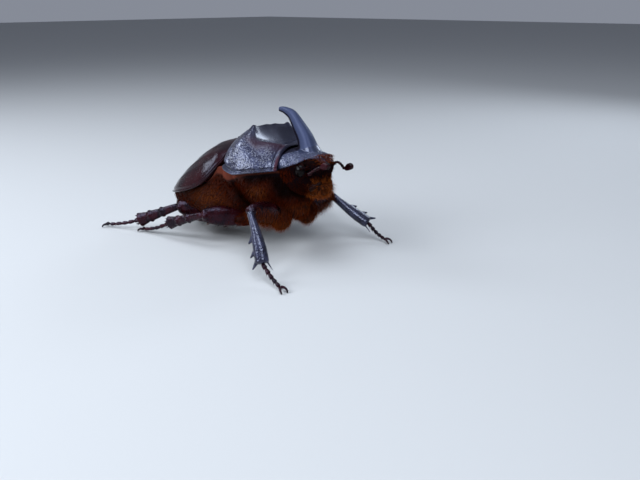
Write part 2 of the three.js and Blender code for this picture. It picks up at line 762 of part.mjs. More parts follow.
const bounds = new THREE.Box3().setFromObject(beetle, true);
const middle = bounds.getCenter(new THREE.Vector3());
beetle.position.set(-middle.x, -middle.y, 0);

export default beetle;
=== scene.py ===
"""Male European rhinoceros beetle, life size: the looks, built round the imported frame.

Shapes are worked out in millimetres. The trunk has a frame of its own, as in the part: x = 0
where the pronotum meets the elytra, z = 0 at the pronotum's side margin. The legs are laid out
on the floor. settle() carries a finished piece into the row's frame, in metres.
"""

import math

import bmesh
import bpy
import numpy as np
from mathutils import Matrix, Vector


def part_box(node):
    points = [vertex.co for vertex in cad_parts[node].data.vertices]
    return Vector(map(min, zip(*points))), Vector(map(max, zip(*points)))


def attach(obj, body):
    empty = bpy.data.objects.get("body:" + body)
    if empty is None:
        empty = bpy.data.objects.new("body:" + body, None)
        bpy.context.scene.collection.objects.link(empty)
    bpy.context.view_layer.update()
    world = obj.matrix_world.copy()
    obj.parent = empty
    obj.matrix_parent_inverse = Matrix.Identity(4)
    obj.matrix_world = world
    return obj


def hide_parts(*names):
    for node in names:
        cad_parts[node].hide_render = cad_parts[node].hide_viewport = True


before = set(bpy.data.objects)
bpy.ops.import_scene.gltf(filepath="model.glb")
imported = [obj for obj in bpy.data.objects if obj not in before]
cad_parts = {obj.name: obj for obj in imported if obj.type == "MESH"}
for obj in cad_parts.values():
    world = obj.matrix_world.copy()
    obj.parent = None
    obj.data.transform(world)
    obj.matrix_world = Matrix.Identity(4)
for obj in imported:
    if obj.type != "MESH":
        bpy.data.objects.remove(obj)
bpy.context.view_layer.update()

MM = 0.001
SIDES = {"left": 1, "right": -1}
UP = np.array([0.0, 0.0, 1.0])

# ---- the two frames

TRUNK_PITCH = math.radians(13)
TRUNK_ROLL = math.radians(4)
PYGIDIUM_CENTRE = (-16.6, 0.0, -5.25)
PYGIDIUM_RADII = (2.5, 4.6, 2.6)

TURN = Matrix.Rotation(-TRUNK_PITCH, 3, "Y") @ Matrix.Rotation(-TRUNK_ROLL, 3, "X")
tail_low, tail_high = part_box("pygidium")
ORIGIN = (tail_low + tail_high) / 2 / MM - TURN @ Vector(PYGIDIUM_CENTRE)
TO_METRES = Matrix.Scale(MM, 4)
TRUNK = TO_METRES @ Matrix.Translation(ORIGIN) @ TURN.to_4x4()
FLOOR = TO_METRES @ Matrix.Translation((ORIGIN.x, ORIGIN.y, 0.0))
TURN_ARRAY = np.array(TURN)


def trunk_to_floor(point):
    """A point of the trunk's frame in the floor's, both in millimetres."""
    return TURN_ARRAY @ np.asarray(point, float) + (0.0, 0.0, ORIGIN.z)


# ---- small maths


def rgb(red, green, blue):
    return (red, green, blue, 1.0)


def lerp(a, b, t):
    return a + (b - a) * t


def clamp01(value):
    return np.clip(value, 0.0, 1.0)


def smooth01(value):
    t = clamp01(value)
    return t * t * (3 - 2 * t)


def rise(value, start, over):
    """0 up to `start`, then smoothly up to 1 within `over`."""
    return smooth01((value - start) / over)


def fall(value, end, over):
    """1, then smoothly down within `over` to 0 at `end`."""
    return smooth01((end - value) / over)


def shares(count):
    """Equal steps from 0 to 1."""
    return np.linspace(0, 1, count)


def hump(r, height, radius):
    """A round hump of the given height and radius, r away from its centre."""
    return height * np.exp(-((r / radius) ** 2))


def soft_min(a, b, width):
    """The lesser of two, rounded where they are within `width` of each other."""
    h = np.maximum(width - np.abs(a - b), 0) / width
    return np.minimum(a, b) - h * h * width / 4


def unit(vectors):
    return vectors / np.maximum(np.linalg.norm(vectors, axis=-1, keepdims=True), 1e-9)


def spline(points, count):
    """A smooth curve through the points, in `count` steps."""
    p = np.asarray(points, float)
    ends = np.vstack([2 * p[0] - p[1], p, 2 * p[-1] - p[-2]])
    t = np.linspace(0, len(p) - 1, count)
    start = np.minimum(t.astype(int), len(p) - 2)
    f = (t - start)[:, None]
    a, b, c, d = (ends[start + k] for k in range(4))
    cubic = (3 * b - a - 3 * c + d) * f**3
    return 0.5 * (2 * b + (c - a) * f + (2 * a - 5 * b + 4 * c - d) * f**2 + cubic)


def blunt(t, start, end):
    """1 along a body, falling to 0 in a round nose over `start` and `end` of its length."""
    head = 1 - clamp01((start - t) / start) ** 2
    tail = 1 - clamp01((t - 1 + end) / end) ** 2
    return np.sqrt(np.maximum(head * tail, 0.0004))


# ---- rings and solids


def circle(count):
    """Cosines and sines of equal steps round a circle."""
    angle = np.linspace(0, 2 * math.pi, count, endpoint=False)
    return np.cos(angle), np.sin(angle)


def grid(*coordinates):
    """Points from coordinates that are spread over the same rows and columns."""
    return np.stack(np.broadcast_arrays(*coordinates), -1)


def sweep(path, broad, half_across, half_over, count=24, roundness=2.0):
    """Rings of a body along a path: half_across along `broad`, half_over square to it."""
    path = np.asarray(path, float)
    along = unit(np.gradient(path, axis=0))
    over = unit(np.cross(along, np.asarray(broad, float)))
    across = np.cross(over, along)
    c, s = circle(count)
    reach = (np.abs(c) ** roundness + np.abs(s) ** roundness) ** (-1 / roundness)
    wide = np.broadcast_to(half_across, len(path))[:, None, None]
    deep = np.broadcast_to(half_over, len(path))[:, None, None]
    ring = across[:, None] * (c * reach)[:, None] * wide + over[:, None] * (s * reach)[:, None] * deep
    return path[:, None] + ring


def ball(centre, radii, rows=24, columns=32):
    """Rings of an ellipsoid, pole to pole along z."""
    polar = np.linspace(0.02, math.pi - 0.02, rows)
    c, s = circle(columns)
    out = np.sin(polar)[:, None]
    points = grid(out * c, out * s, np.cos(polar)[:, None])
    return np.asarray(centre, float) + points * np.asarray(radii, float)


def ring_faces(rows, columns, offset=0):
    """Quads between rings and a fan over each end; the two end points come after the rings."""
    i, j = np.meshgrid(np.arange(rows - 1), np.arange(columns), indexing="ij")
    a = offset + i * columns + j
    b = offset + i * columns + (j + 1) % columns
    quads = np.stack([a, b, b + columns, a + columns], -1).reshape(-1, 4).tolist()
    past = offset + rows * columns
    end = past - columns
    pairs = [(j, (j + 1) % columns) for j in range(columns)]
    fans = [[past, offset + k, offset + j] for j, k in pairs]
    return quads + fans + [[past + 1, end + j, end + k] for j, k in pairs]


def new_object(name, data):
    obj = bpy.data.objects.new(name, data)
    bpy.context.scene.collection.objects.link(obj)
    return obj


def solid(name, ring_sets):
    """One object of closed shells, one for each set of rings, with faces outward."""
    points, faces, offset = [], [], 0
    for rings in ring_sets:
        rows, columns = rings.shape[:2]
        block = np.vstack([rings.reshape(-1, 3), rings[0].mean(0), rings[-1].mean(0)])
        shell = ring_faces(rows, columns, offset)
        corner = block[np.array([f[:3] for f in shell]) - offset]
        volume = np.einsum("ij,ij->i", corner[:, 0], np.cross(corner[:, 1], corner[:, 2])).sum()
        faces += shell if volume > 0 else [f[::-1] for f in shell]
        points.append(block)
        offset += len(block)
    mesh = bpy.data.meshes.new(name)
    mesh.from_pydata(np.vstack(points).tolist(), [], faces)
    mesh.update()
    return new_object(name, mesh)


def copied(obj, name):
    """A second object of the same shape."""
    mesh = obj.data.copy()
    mesh.name = name
    return new_object(name, mesh)


def read_points(items, field):
    """A vector for each point of a mesh."""
    data = np.empty(len(items) * 3)
    items.foreach_get(field, data)
    return data.reshape(-1, 3)


def points_of(obj):
    return read_points(obj.data.vertices, "co")


def normals_of(obj):
    return read_points(obj.data.vertex_normals, "vector")


def face_centres(obj):
    return np.array([tuple(face.center) for face in obj.data.polygons])


def move_points(obj, points):
    obj.data.vertices.foreach_set("co", np.asarray(points, float).ravel())
    obj.data.update()


def swell(obj, heights):
    """Moves each point of a piece out along its normal."""
    move_points(obj, points_of(obj) + normals_of(obj) * heights[:, None])


def store(obj, name, values):
    """Keeps a number or a vector for each point of a mesh; a single number goes to all of them."""
    values = np.asarray(values, float)
    if values.ndim == 0:
        values = np.full(len(obj.data.vertices), values)
    vector = values.ndim == 2
    attribute = obj.data.attributes.new(name, "FLOAT_VECTOR" if vector else "FLOAT", "POINT")
    attribute.data.foreach_set("vector" if vector else "value", values.ravel())


def bake_modifiers(obj):
    """Makes what the modifiers show the object's own mesh, and takes them off."""
    depsgraph = bpy.context.evaluated_depsgraph_get()
    evaluated = obj.evaluated_get(depsgraph)
    mesh = bpy.data.meshes.new_from_object(evaluated, preserve_all_data_layers=True, depsgraph=depsgraph)
    mesh.name = obj.name
    obj.modifiers.clear()
    obj.data = mesh


def fused(name, ring_sets, voxel, smoothing, finish=None):
    """Overlapping closed shells melted into one skin of small even faces."""
    obj = solid(name, ring_sets)
    remesh = obj.modifiers.new("fuse", "REMESH")
    remesh.mode = "VOXEL"
    remesh.voxel_size = voxel
    smooth = obj.modifiers.new("smooth", "SMOOTH")
    smooth.factor = 0.5
    smooth.iterations = smoothing
    bake_modifiers(obj)
    if finish:
        obj.data.materials.append(FINISH[finish])
    return obj


def settle(obj, place):
    """Carries a piece into the row's frame, shaded smooth."""
    obj.data.transform(place)
    obj.data.shade_smooth()
    obj.data.update()


# ---- node trees


def socket_of(sockets, key):
    if isinstance(key, int):
        return sockets[key]
    return next(s for s in sockets if s.name == key and s.enabled)


class Tree:
    """Adds nodes to a tree; an input is a value, or another node's output to link."""

    def __init__(self, tree):
        self.tree = tree

    def add(self, kind, inputs=(), **settings):
        node = self.tree.nodes.new(kind)
        for key, value in settings.items():
            setattr(node, key, value)
        for key, value in dict(inputs).items():
            socket = socket_of(node.inputs, key)
            if isinstance(value, bpy.types.NodeSocket):
                self.tree.links.new(value, socket)
            else:
                socket.default_value = value
        return node

    def out(self, kind, inputs=(), output=None, **settings):
        node = self.add(kind, inputs, **settings)
        if output is None:
            return next(s for s in node.outputs if s.enabled)
        return socket_of(node.outputs, output)

    def math(self, operation, first, *others):
        """An operation carried on over its values from left to right."""
        for other in others:
            first = self.out("ShaderNodeMath", {0: first, 1: other}, operation=operation)
        return first

    def plus(self, *values):
        return self.math("ADD", *values)

    def minus(self, *values):
        return self.math("SUBTRACT", *values)

    def times(self, *values):
        return self.math("MULTIPLY", *values)

    def vector(self, operation, a, b):
        return self.out("ShaderNodeVectorMath", {0: a, 1: b}, operation=operation)

    def scaled(self, vector, factor):
        inputs = {0: vector, "Scale": factor}
        return self.out("ShaderNodeVectorMath", inputs, operation="SCALE")

    def ramp(self, value, low, high, out_low=0.0, out_high=1.0):
        """Value mapped smoothly from low..high to out_low..out_high."""
        ends = {0: value, 1: low, 2: high, 3: out_low, 4: out_high}
        return self.out("ShaderNodeMapRange", ends, interpolation_type="SMOOTHSTEP")

    def mix(self, factor, a, b):
        inputs = {0: factor, 6: a, 7: b}
        return self.out("ShaderNodeMix", inputs, data_type="RGBA", output="Result")

    def parts(self, vector):
        return self.add("ShaderNodeSeparateXYZ", {0: vector}).outputs

    def random(self, low, high, seed):
        inputs = {2: low, 3: high, "Seed": seed}
        return self.out("FunctionNodeRandomValue", inputs, data_type="FLOAT")

    def noise(self, place, scale, detail):
        inputs = {"Vector": place, "Scale": scale, "Detail": detail}
        return self.out("ShaderNodeTexNoise", inputs, output=0)

    def pits(self, place, spacing, inner, outer):
        """1 in round pits strewn about `spacing` apart, 0 between them."""
        cells = {"Vector": place, "Scale": self.math("DIVIDE", 1.0, spacing)}
        distance = self.out("ShaderNodeTexVoronoi", cells, output="Distance")
        return self.ramp(distance, inner, outer, 1.0, 0.0)

    def mark(self, name):
        """In a material, the number that a mesh keeps under this name."""
        return self.out("ShaderNodeAttribute", attribute_name=name, output="Fac")

    def named(self, name, data_type="FLOAT"):
        """In Geometry Nodes, what a mesh keeps under this name."""
        return self.out("GeometryNodeInputNamedAttribute", {"Name": name}, data_type=data_type)

    def keep(self, geometry, name, value, data_type="FLOAT", domain="POINT"):
        """Geometry that keeps a value under this name."""
        inputs = {"Geometry": geometry, "Name": name, "Value": value}
        return self.out("GeometryNodeStoreNamedAttribute", inputs, data_type=data_type, domain=domain)


def socket_kind(default):
    """The kind of socket that holds a value like this one; nothing stands for a material."""
    if isinstance(default, tuple):
        return "Vector" if len(default) == 3 else "Color"
    return {float: "Float", int: "Int", type(None): "Material"}[type(default)]


def interface(tree, inputs, outputs):
    """Named sockets of a group: {name: default} in, {name: kind} out."""
    for name, default in inputs.items():
        kind = f"NodeSocket{socket_kind(default)}"
        socket = tree.interface.new_socket(name, in_out="INPUT", socket_type=kind)
        if default is not None:
            socket.default_value = default
    for name, kind in outputs.items():
        tree.interface.new_socket(name, in_out="OUTPUT", socket_type=f"NodeSocket{kind}")


def geometry_tree(name, sizes):
    """A new Geometry Nodes tree with one geometry in and out: its nodes and its inputs."""
    tree = bpy.data.node_groups.new(name, "GeometryNodeTree")
    tree.interface.new_socket("Geometry", in_out="INPUT", socket_type="NodeSocketGeometry")
    interface(tree, {**sizes, "Material": None}, {"Geometry": "Geometry"})
    nodes = Tree(tree)
    return nodes, nodes.add("NodeGroupInput").outputs


def close_tree(nodes, geometry, material):
    real = nodes.out("GeometryNodeRealizeInstances", {"Geometry": geometry})
    final = nodes.out("GeometryNodeSetMaterial", {"Geometry": real, "Material": material})
    nodes.add("NodeGroupOutput", {0: final})
    return nodes.tree


def titled(sizes):
    """Sizes under the names of a group's inputs: pit_depth becomes Pit Depth."""
    return {key.replace("_", " ").title(): value for key, value in sizes.items()}


def run_tree(obj, tree, finish, sizes):
    """Applies a tree to an object, with sizes for its inputs and a finish for its faces."""
    values = {**titled(sizes), "Material": FINISH[finish]}
    modifier = obj.modifiers.new(tree.name, "NODES")
    modifier.node_group = tree
    for item in tree.interface.items_tree:
        if item.in_out == "INPUT" and item.name in values:
            modifier[item.identifier] = values[item.name]
    bake_modifiers(obj)


def relieve(obj, finish, pits, wrinkles=(0.5, 0.02), stretch=(1.0, 1.0, 1.0)):
    """Presses pits (spacing, depth) and wrinkles (size, height) in, and gives the finish."""
    names = ("pit_spacing", "pit_depth", "wrinkle_size", "wrinkle_height", "wrinkle_stretch")
    run_tree(obj, RELIEF, finish, dict(zip(names, (*pits, *wrinkles, stretch))))


def relief_tree():
    """Pits and wrinkles pressed into a surface where its attribute `rough` says."""
    sizes = {
        "Pit Spacing": 0.3,
        "Pit Depth": 0.03,
        "Wrinkle Size": 0.5,
        "Wrinkle Height": 0.02,
        "Wrinkle Stretch": (1.0, 1.0, 1.0),
    }
    n, given = geometry_tree("Relief", sizes)
    place = n.out("GeometryNodeInputPosition")
    pits = n.times(n.pits(place, given["Pit Spacing"], 0.12, 0.46), given["Pit Depth"])
    stretched = n.vector("MULTIPLY", place, given["Wrinkle Stretch"])
    folds = n.noise(stretched, n.math("DIVIDE", 1.0, given["Wrinkle Size"]), 3.0)
    wrinkles = n.times(n.minus(folds, 0.5), given["Wrinkle Height"])
    lift = n.times(n.minus(wrinkles, pits), n.named("rough"))
    offset = n.scaled(n.out("GeometryNodeInputNormal"), lift)
    moved = n.out("GeometryNodeSetPosition", {"Geometry": given["Geometry"], "Offset": offset})
    return close_tree(n, moved, given["Material"])


PATCH = 0.003  # width of a lock's patch on the unwrap


def coat_tree():
    """Locks of hair on a skin, lying along its attribute `lie`, as long as its `fur` lets them."""
    sizes = {"Density": 20.0, "Length": 1.0, "Width": 0.05, "Lift": 0.5, "Mess": 0.3, "Curl": 0.25}
    n, given = geometry_tree("Coat", {**sizes, "Seed": 1})
    fur = n.named("fur")
    density = n.times(given["Density"], n.ramp(fur, 0.02, 0.5))
    scatter = n.add(
        "GeometryNodeDistributePointsOnFaces",
        {"Mesh": given["Geometry"], "Density": density, "Seed": given["Seed"]},
        distribute_method="RANDOM",
    )
    normal = scatter.outputs["Normal"]
    corners = {0: (-1, -1, -1), 1: (1, 1, 1)}
    stray = n.out("FunctionNodeRandomValue", corners, data_type="FLOAT_VECTOR")
    way = n.vector("ADD", n.named("lie", "FLOAT_VECTOR"), n.scaled(normal, given["Lift"]))
    way = n.vector("ADD", way, n.scaled(stray, given["Mess"]))
    upright = n.out("FunctionNodeAlignRotationToVector", {"Vector": way}, axis="Z")
    turn = n.out(
        "FunctionNodeAlignRotationToVector",
        {"Rotation": upright, "Vector": normal},
        axis="X",
        pivot_axis="Z",
    )
    long = n.times(given["Length"], n.random(0.65, 1.25, 7), fur)
    size = n.out("ShaderNodeCombineXYZ", {0: given["Width"], 1: given["Width"], 2: long})
    slender = n.math("DIVIDE", given["Length"], given["Width"])
    lock = lock_shape(n, n.times(given["Curl"], slender))
    toned = n.keep(scatter.outputs["Points"], "tone", n.random(0.0, 1.0, 11))
    planted = n.out(
        "GeometryNodeInstanceOnPoints",
        {"Points": toned, "Instance": lock, "Rotation": turn, "Scale": size},
    )
    real = n.out("GeometryNodeRealizeInstances", {"Geometry": planted})
    own = n.out("ShaderNodeCombineXYZ", {0: n.named("around"), 1: n.named("along")})
    patch = n.scaled(n.vector("SUBTRACT", own, (0.5, 0.5, 0.0)), PATCH)
    place = n.vector("ADD", n.named("unwrap", "FLOAT_VECTOR"), patch)
    return close_tree(n, n.keep(real, "OFBake", place, "FLOAT2", "CORNER"), given["Material"])


def lock_shape(n, curl):
    """One lock, 1 long along z and 2 thick, three-sided, tapered and bent toward -x."""
    cone = n.out(
        "GeometryNodeMeshCone",
        {"Vertices": 3, "Side Segments": 3, "Radius Top": 0.0, "Radius Bottom": 1.0, "Depth": 1.0},
        output="Mesh",
        fill_type="NGON",
    )
    along = n.parts(n.out("GeometryNodeInputPosition"))["Z"]
    marked = n.keep(cone, "along", along)
    around = n.ramp(n.parts(n.out("GeometryNodeInputPosition"))["X"], -1.0, 1.0)
    marked = n.keep(marked, "around", around)
    bend = n.out("ShaderNodeCombineXYZ", {0: n.times(along, along, curl, -1.0)})
    return n.out("GeometryNodeSetPosition", {"Geometry": marked, "Offset": bend})


# ---- materials


def cuticle_group():
    """A shell's tone, gloss and fine relief, from sizes in millimetres."""
    tree = bpy.data.node_groups.new("Cuticle", "ShaderNodeTree")
    inputs = {
        "Deep": rgb(0.01, 0.005, 0.005),
        "Bright": rgb(0.05, 0.02, 0.02),
        "Thin": rgb(0.22, 0.05, 0.02),
        "Cloud Size": 2.0,
        "Pit Spacing": 0.2,
        "Pit Depth": 0.5,
        "Grain": 0.2,
        "Roughness": 0.3,
        "Roughness Spread": 0.12,
        "Coat": 0.0,
    }
    outputs = {"Color": "Color", "Roughness": "Float", "Coat": "Float", "Height": "Float"}
    interface(tree, inputs, outputs)
    n = Tree(tree)
    given = n.add("NodeGroupInput").outputs
    place = n.scaled(n.out("ShaderNodeTexCoord", output="Object"), 1 / MM)
    polished, thin, painted_shade = n.mark("polished"), n.mark("thin"), n.mark("painted_shade")
    cloud = n.noise(place, n.math("DIVIDE", 1.0, given["Cloud Size"]), 4.0)
    pits = n.pits(place, given["Pit Spacing"], 0.1, 0.42)
    pit_depth = n.times(pits, n.minus(1.0, polished), given["Pit Depth"])
    grain = n.noise(place, 9.0, 5.0)

    tone = n.mix(n.ramp(cloud, 0.35, 0.68), given["Deep"], given["Bright"])
    # Pits and polished parts take the deep tone; in the pits it is painted shade.
    sunk = n.mix(n.math("MAXIMUM", n.times(pit_depth, 0.8), polished), tone, given["Deep"])
    # Where a mesh keeps painted shade, the tone goes to near black and matt.
    colour = n.mix(painted_shade, n.mix(thin, sunk, given["Thin"]), PAINTED_SHADE_BLACK)
    matt = n.math("MAXIMUM", painted_shade, thin)
    spread = n.times(n.minus(grain, 0.5), given["Roughness Spread"], 2.0)
    rough = n.plus(given["Roughness"], spread, n.times(pit_depth, 0.25), n.times(matt, 0.4))
    coat = n.times(given["Coat"], n.minus(1.0, matt))
    height = n.minus(n.times(grain, given["Grain"]), pit_depth)
    n.add("NodeGroupOutput", {"Color": colour, "Roughness": rough, "Coat": coat, "Height": height})
    return tree


def new_material(name):
    material = bpy.data.materials.new(name)
    material.use_nodes = True
    material.node_tree.nodes.clear()
    return material, Tree(material.node_tree)


def shader(n, colour, roughness, height, depth, **constants):
    """A Principled surface whose bump is `height`, worth `depth` millimetres."""
    inputs = {"Base Color": colour, "Roughness": roughness}
    if height is not None:
        bump = {"Height": height, "Distance": depth * MM, "Strength": 1.0}
        inputs["Normal"] = n.out("ShaderNodeBump", bump)
    inputs.update({key.replace("_", " "): value for key, value in constants.items()})
    surface = n.out("ShaderNodeBsdfPrincipled", inputs)
    n.add("ShaderNodeOutputMaterial", {"Surface": surface})


# Near black is painted shade on shells. For hair, the blackest tone is painted shade on the pile, and the
# golden one is painted light on its lit patches as well as the own tone of golden fringes.
PAINTED_SHADE_BLACK = rgb(0.003, 0.001, 0.002)
HAIR_ROOT = rgb(0.018, 0.002, 0.0008)
HAIR_TIP = rgb(0.17, 0.021, 0.003)
HAIR_GOLDEN_AND_LIT = rgb(0.48, 0.12, 0.025)
HAIR_PAINTED_SHADE = rgb(0.008, 0.002, 0.001)
# The blue and violet specular tints paint the blue sky's colour into every reflection: painted reflection.
SATIN = {"Specular_IOR_Level": 0.16, "Specular_Tint": rgb(0.75, 0.75, 1.0)}
LACQUER = {"Specular_IOR_Level": 0.4, "Specular_Tint": rgb(0.5, 0.56, 1.0), "Coat_Roughness": 0.16}
SHADE = {"Specular_IOR_Level": 0.15, "Specular_Tint": rgb(0.5, 0.56, 1.0)}
LIMB = {"Specular_IOR_Level": 0.2, "Specular_Tint": rgb(0.75, 0.7, 1.0)}


def plain(level):
    return {"Specular_IOR_Level": level}


def shell_material(name, gloss, depth=0.03, **sizes):
    """A shell's finish: `gloss` for its constants, relief `depth` millimetres deep."""
    material, n = new_material(name)
    cuticle = n.add("ShaderNodeGroup", node_tree=CUTICLE)
    for key, value in titled(sizes).items():
        cuticle.inputs[key].default_value = value
    out = cuticle.outputs
    shader(n, out["Color"], out["Roughness"], out["Height"], depth, Coat_Weight=out["Coat"], **gloss)
    return material


def hair_material(name, root, tip, golden):
    """Hair that pales from root to tip, golden on painted light and on golden fringes, near black in painted
    shade, as its skin says; locks vary a little.
    """
    material, n = new_material(name)
    painted_light_and_tone = n.mark("painted_light_and_tone")
    end = n.mix(n.ramp(painted_light_and_tone, 0.0, 1.0), tip, golden)
    shade = n.mix(n.ramp(n.mark("along"), 0.0, 0.9), root, end)
    darker = n.out("ShaderNodeHueSaturation", {"Color": shade, "Value": 0.6})
    painted_shade = n.ramp(painted_light_and_tone, 0.0, -1.0)
    colour = n.mix(painted_shade, n.mix(n.mark("tone"), darker, shade), HAIR_PAINTED_SHADE)
    shader(n, colour, 0.6, None, 0, Specular_IOR_Level=0.0)
    return material


# ---- pronotum


class Pronotum:
    """Where the pronotum's features lie and how large they are."""

    rear, front = -0.3, 9.6
    widest_at, half_width = 2.6, 8.5
    crest_at = 4.3
    base_height, crest_height, collar_height = 4.7, 6.2, 2.2
    side_level, front_level = -0.6, -0.8
    hind_corner, hind_lift = 3.7, 1.9
    recess = 0.35
    bowl_at, bowl_height, bowl_steepness = 6.5, 2.95, 0.75
    tooth_spread, tooth_height = 3.7, 0.4
    bead = 0.13
    groove = 0.16


def pronotum_half_width(x):
    p = Pronotum
    behind = np.clip((p.widest_at - x) / 3.25, 0, 0.97)
    ahead = np.maximum(x - p.widest_at, 0) / 10.9
    return p.half_width * (1 - behind**2.6) ** (1 / 2.6) * (1 - ahead**2.2)


def pronotum_margin(x):
    p = Pronotum
    lift = p.hind_lift * clamp01((p.hind_corner - x) / (p.hind_corner - p.rear)) ** 1.2
    droop = clamp01((x - p.crest_at) / (p.front - p.crest_at)) ** 1.5
    return p.side_level + lift + (p.front_level - p.side_level) * droop


def pronotum_top(x, y):
    """A dome, hollowed in front of its crest; also says how much of each point is hollow."""
    p = Pronotum
    aside = np.abs(y)
    rear_rise = 1 - clamp01((p.crest_at - x) / (p.crest_at - p.rear)) ** 2
    front_fall = clamp01((x - p.crest_at) / (p.front - p.crest_at)) ** 2
    spine = lerp(p.base_height, p.crest_height, rear_rise)
    spine = spine - (p.crest_height - p.collar_height) * front_fall
    s = clamp01(aside / pronotum_half_width(x))
    margin = pronotum_margin(x)
    arch = lerp(2.5, 2.1, front_fall) + hump(x - p.crest_at, 1.2, 1.6)
    dome = margin + (spine - margin) * (1 - s**arch) ** lerp(0.75, 0.72, front_fall)
    wall = np.maximum(0, p.bowl_at - x)
    bowl = p.bowl_height + p.bowl_steepness * wall**2 + 0.04 * y**2 - 0.1 * (x - p.bowl_at)
    side_tooth = hump(np.hypot(x - p.crest_at - 0.1, aside - p.tooth_spread), p.tooth_height, 0.5)
    middle_teeth = hump(np.hypot(x - p.crest_at, (aside - 0.9) * 0.8), 0.1, 0.5)
    edge = lerp(0.35, 1.6, rise(aside, 3.6, 2))
    height = soft_min(dome, bowl, edge) + side_tooth + middle_teeth
    return height, smooth01((dome - bowl) / 0.6)


def girth(rings):
    """Distance along each ring from its first point."""
    step = np.linalg.norm(np.diff(rings, axis=1), axis=-1)
    return np.concatenate([np.zeros((len(rings), 1)), np.cumsum(step, axis=1)], axis=1)


def inset(ring, share, back):
    """A ring drawn in toward its middle and set back."""
    return lerp(ring.mean(0), ring, share) - (back, 0, 0)


def plate_values(values, shape, under, before=0, after=0):
    """A number for each point of a plate, from those of its upper face; 0 on the others."""
    rows, columns = shape
    full = np.zeros((before + rows + after, columns + under))
    full[before : before + rows, :columns] = values
    return np.append(full.ravel(), [0, 0])


def pronotum():
    p = Pronotum
    shape, under = (215, 360), 24
    rows, columns = shape
    x = np.linspace(p.rear, p.front, rows)[:, None]
    half = pronotum_half_width(x)
    y = half * np.sin((shares(columns) - 0.5) * math.pi)
    aside = np.abs(y)
    at = x - p.recess * (1 - (y / half) ** 2)
    z, hollow = pronotum_top(at, y)
    z[:, [0, -1]] = pronotum_margin(x)
    top = grid(at, y, z)
    across = np.linspace(1, -1, under + 2)[1:-1]
    low_x = x - p.recess * (1 - across**2)
    low_z = pronotum_margin(x) + 0.35 * (1 - across**6)
    rings = np.concatenate([top, grid(low_x, half * across, low_z)], axis=1)
    heel = [inset(rings[0], 0.93, 0.05)]
    lip = [inset(rings[-1], *by) for by in ((0.955, -0.03), (0.9, 0.35), (0.86, 1.3))]

    lengthwise = girth(top)
    from_side = np.minimum(lengthwise, lengthwise[:, -1:] - lengthwise)
    from_front = p.front - x
    from_rear = x - p.rear
    corner = fall(x, 4.2, 3.0)
    groove_at = lerp(0.42, 0.72, corner)
    groove_width = lerp(0.16, 0.42, corner)
    relief = hump(from_side - 0.14, p.bead, 0.13)
    relief -= hump(from_side - groove_at, p.groove * lerp(1, 2.2, corner), groove_width)
    relief += hump(from_front - 0.12, 0.06, 0.16) - hump(from_front - 0.42, 0.1, 0.12)
    relief -= hump(from_rear - 0.55, 0.12, 0.28) * (1 - hollow)

    def spread(values):
        return plate_values(values, shape, under, len(heel), len(lip))

    obj = solid("pronotum", [np.concatenate([heel, rings, lip])])
    swell(obj, spread(relief))
    wall = hollow * smooth01((p.bowl_at - 0.5 - at) / 0.5)
    crest = hump(np.abs(at - p.crest_at), 0.8, 1.0) * smooth01(1.5 - aside / 4)
    collar = fall(from_front, 0.32, 0.12)
    smoothness = clamp01(np.maximum(np.maximum(wall, crest), collar) + 0.35 * fall(at, 2.2, 2))
    store(obj, "rough", spread((1 - smoothness) * rise(from_side, 0, 0.5)))
    store(obj, "polished", spread(smoothness))
    sideways = rise(aside, 1.6, 0.8) * fall(aside, 6.4, 0.8)
    # A reddish band along the floor of the hollow is a painted reflection of the ground; half of it is also
    # painted shade. On the collar's low edge the same thin tone is the membrane's own colour.
    painted_reflection_band = hump(x + aside - 11.9, 1.0, 0.95) * sideways
    low_edge = rise(aside, 3.4, 1.2)
    store(obj, "thin", spread(np.maximum(collar * low_edge, 0.9 * painted_reflection_band)))
    # Painted shade, near black: in the groove inside the hind corner, along the rear edge where the pronotum
    # lies over the elytra, on the crest's rim, over the left half of the hollow, on the collar beside the
    # head, and on the reflected band.
    trench_shade = hump(from_side - groove_at, 0.95, groove_width * 1.1) * corner
    behind = 0.9 * fall(from_rear, 0.9, 0.5) * (1 - hollow)
    rim = 0.95 * hump(at - p.crest_at, 1.0, 0.6) * fall(aside, 5.0, 1.5)
    far = 0.85 * hollow * rise(y, -0.4, 1.8) * smooth01((p.bowl_at + 0.4 - at) / 0.6)
    painted_shade = np.broadcast_arrays(trench_shade, behind, rim, far, collar * (1 - low_edge), 0.5 * painted_reflection_band)
    store(obj, "painted_shade", spread(np.max(painted_shade, axis=0)))
    relieve(obj, "shell", pits=(0.27, 0.045), wrinkles=(0.45, 0.085), stretch=(0.6, 1.0, 1.2))
    return obj


# ---- elytra and scutellum


class Elytra:
    """Where the two elytra's features lie and how large they are."""

    base, apex = -0.8, -18.3
    widest_at, half_width = -6.5, 8.9
    side_level, shoulder_lift, shoulder_run = -2.55, 6.0, 2.3
    crown_at, crown, base_crown, tail = -4.0, 4.85, 4.1, -2.5
    gap = 0.06


def elytra_half_width(x):
    e = Elytra
    ahead = np.maximum(x - e.widest_at, 0) / 6.5
    behind = np.maximum(e.widest_at - x, 0) / (e.widest_at - e.apex + 0.15)
    return e.half_width * (1 - ahead**3) ** (1 / 3) * np.sqrt(1 - behind**2)


def elytra_margin(x):
    return Elytra.side_level + Elytra.shoulder_lift * np.exp(x / Elytra.shoulder_run)


def elytra_top(x, y):
    e = Elytra
    front = clamp01((x - e.crown_at) / (e.base - e.crown_at)) ** 2
    rear = clamp01((e.crown_at - x) / (e.crown_at - e.apex)) ** 1.45
    spine = np.where(x > e.crown_at, lerp(e.crown, e.base_crown, front), lerp(e.crown, e.tail, rear))
    s = clamp01(np.abs(y) / elytra_half_width(x))
    margin = elytra_margin(x)
    knob = hump(np.hypot(x + 2.1, np.abs(y) - 5.8), 0.25, 1.0)
    return margin + (spine - margin) * (1 - s**2.3) ** 0.7 + knob


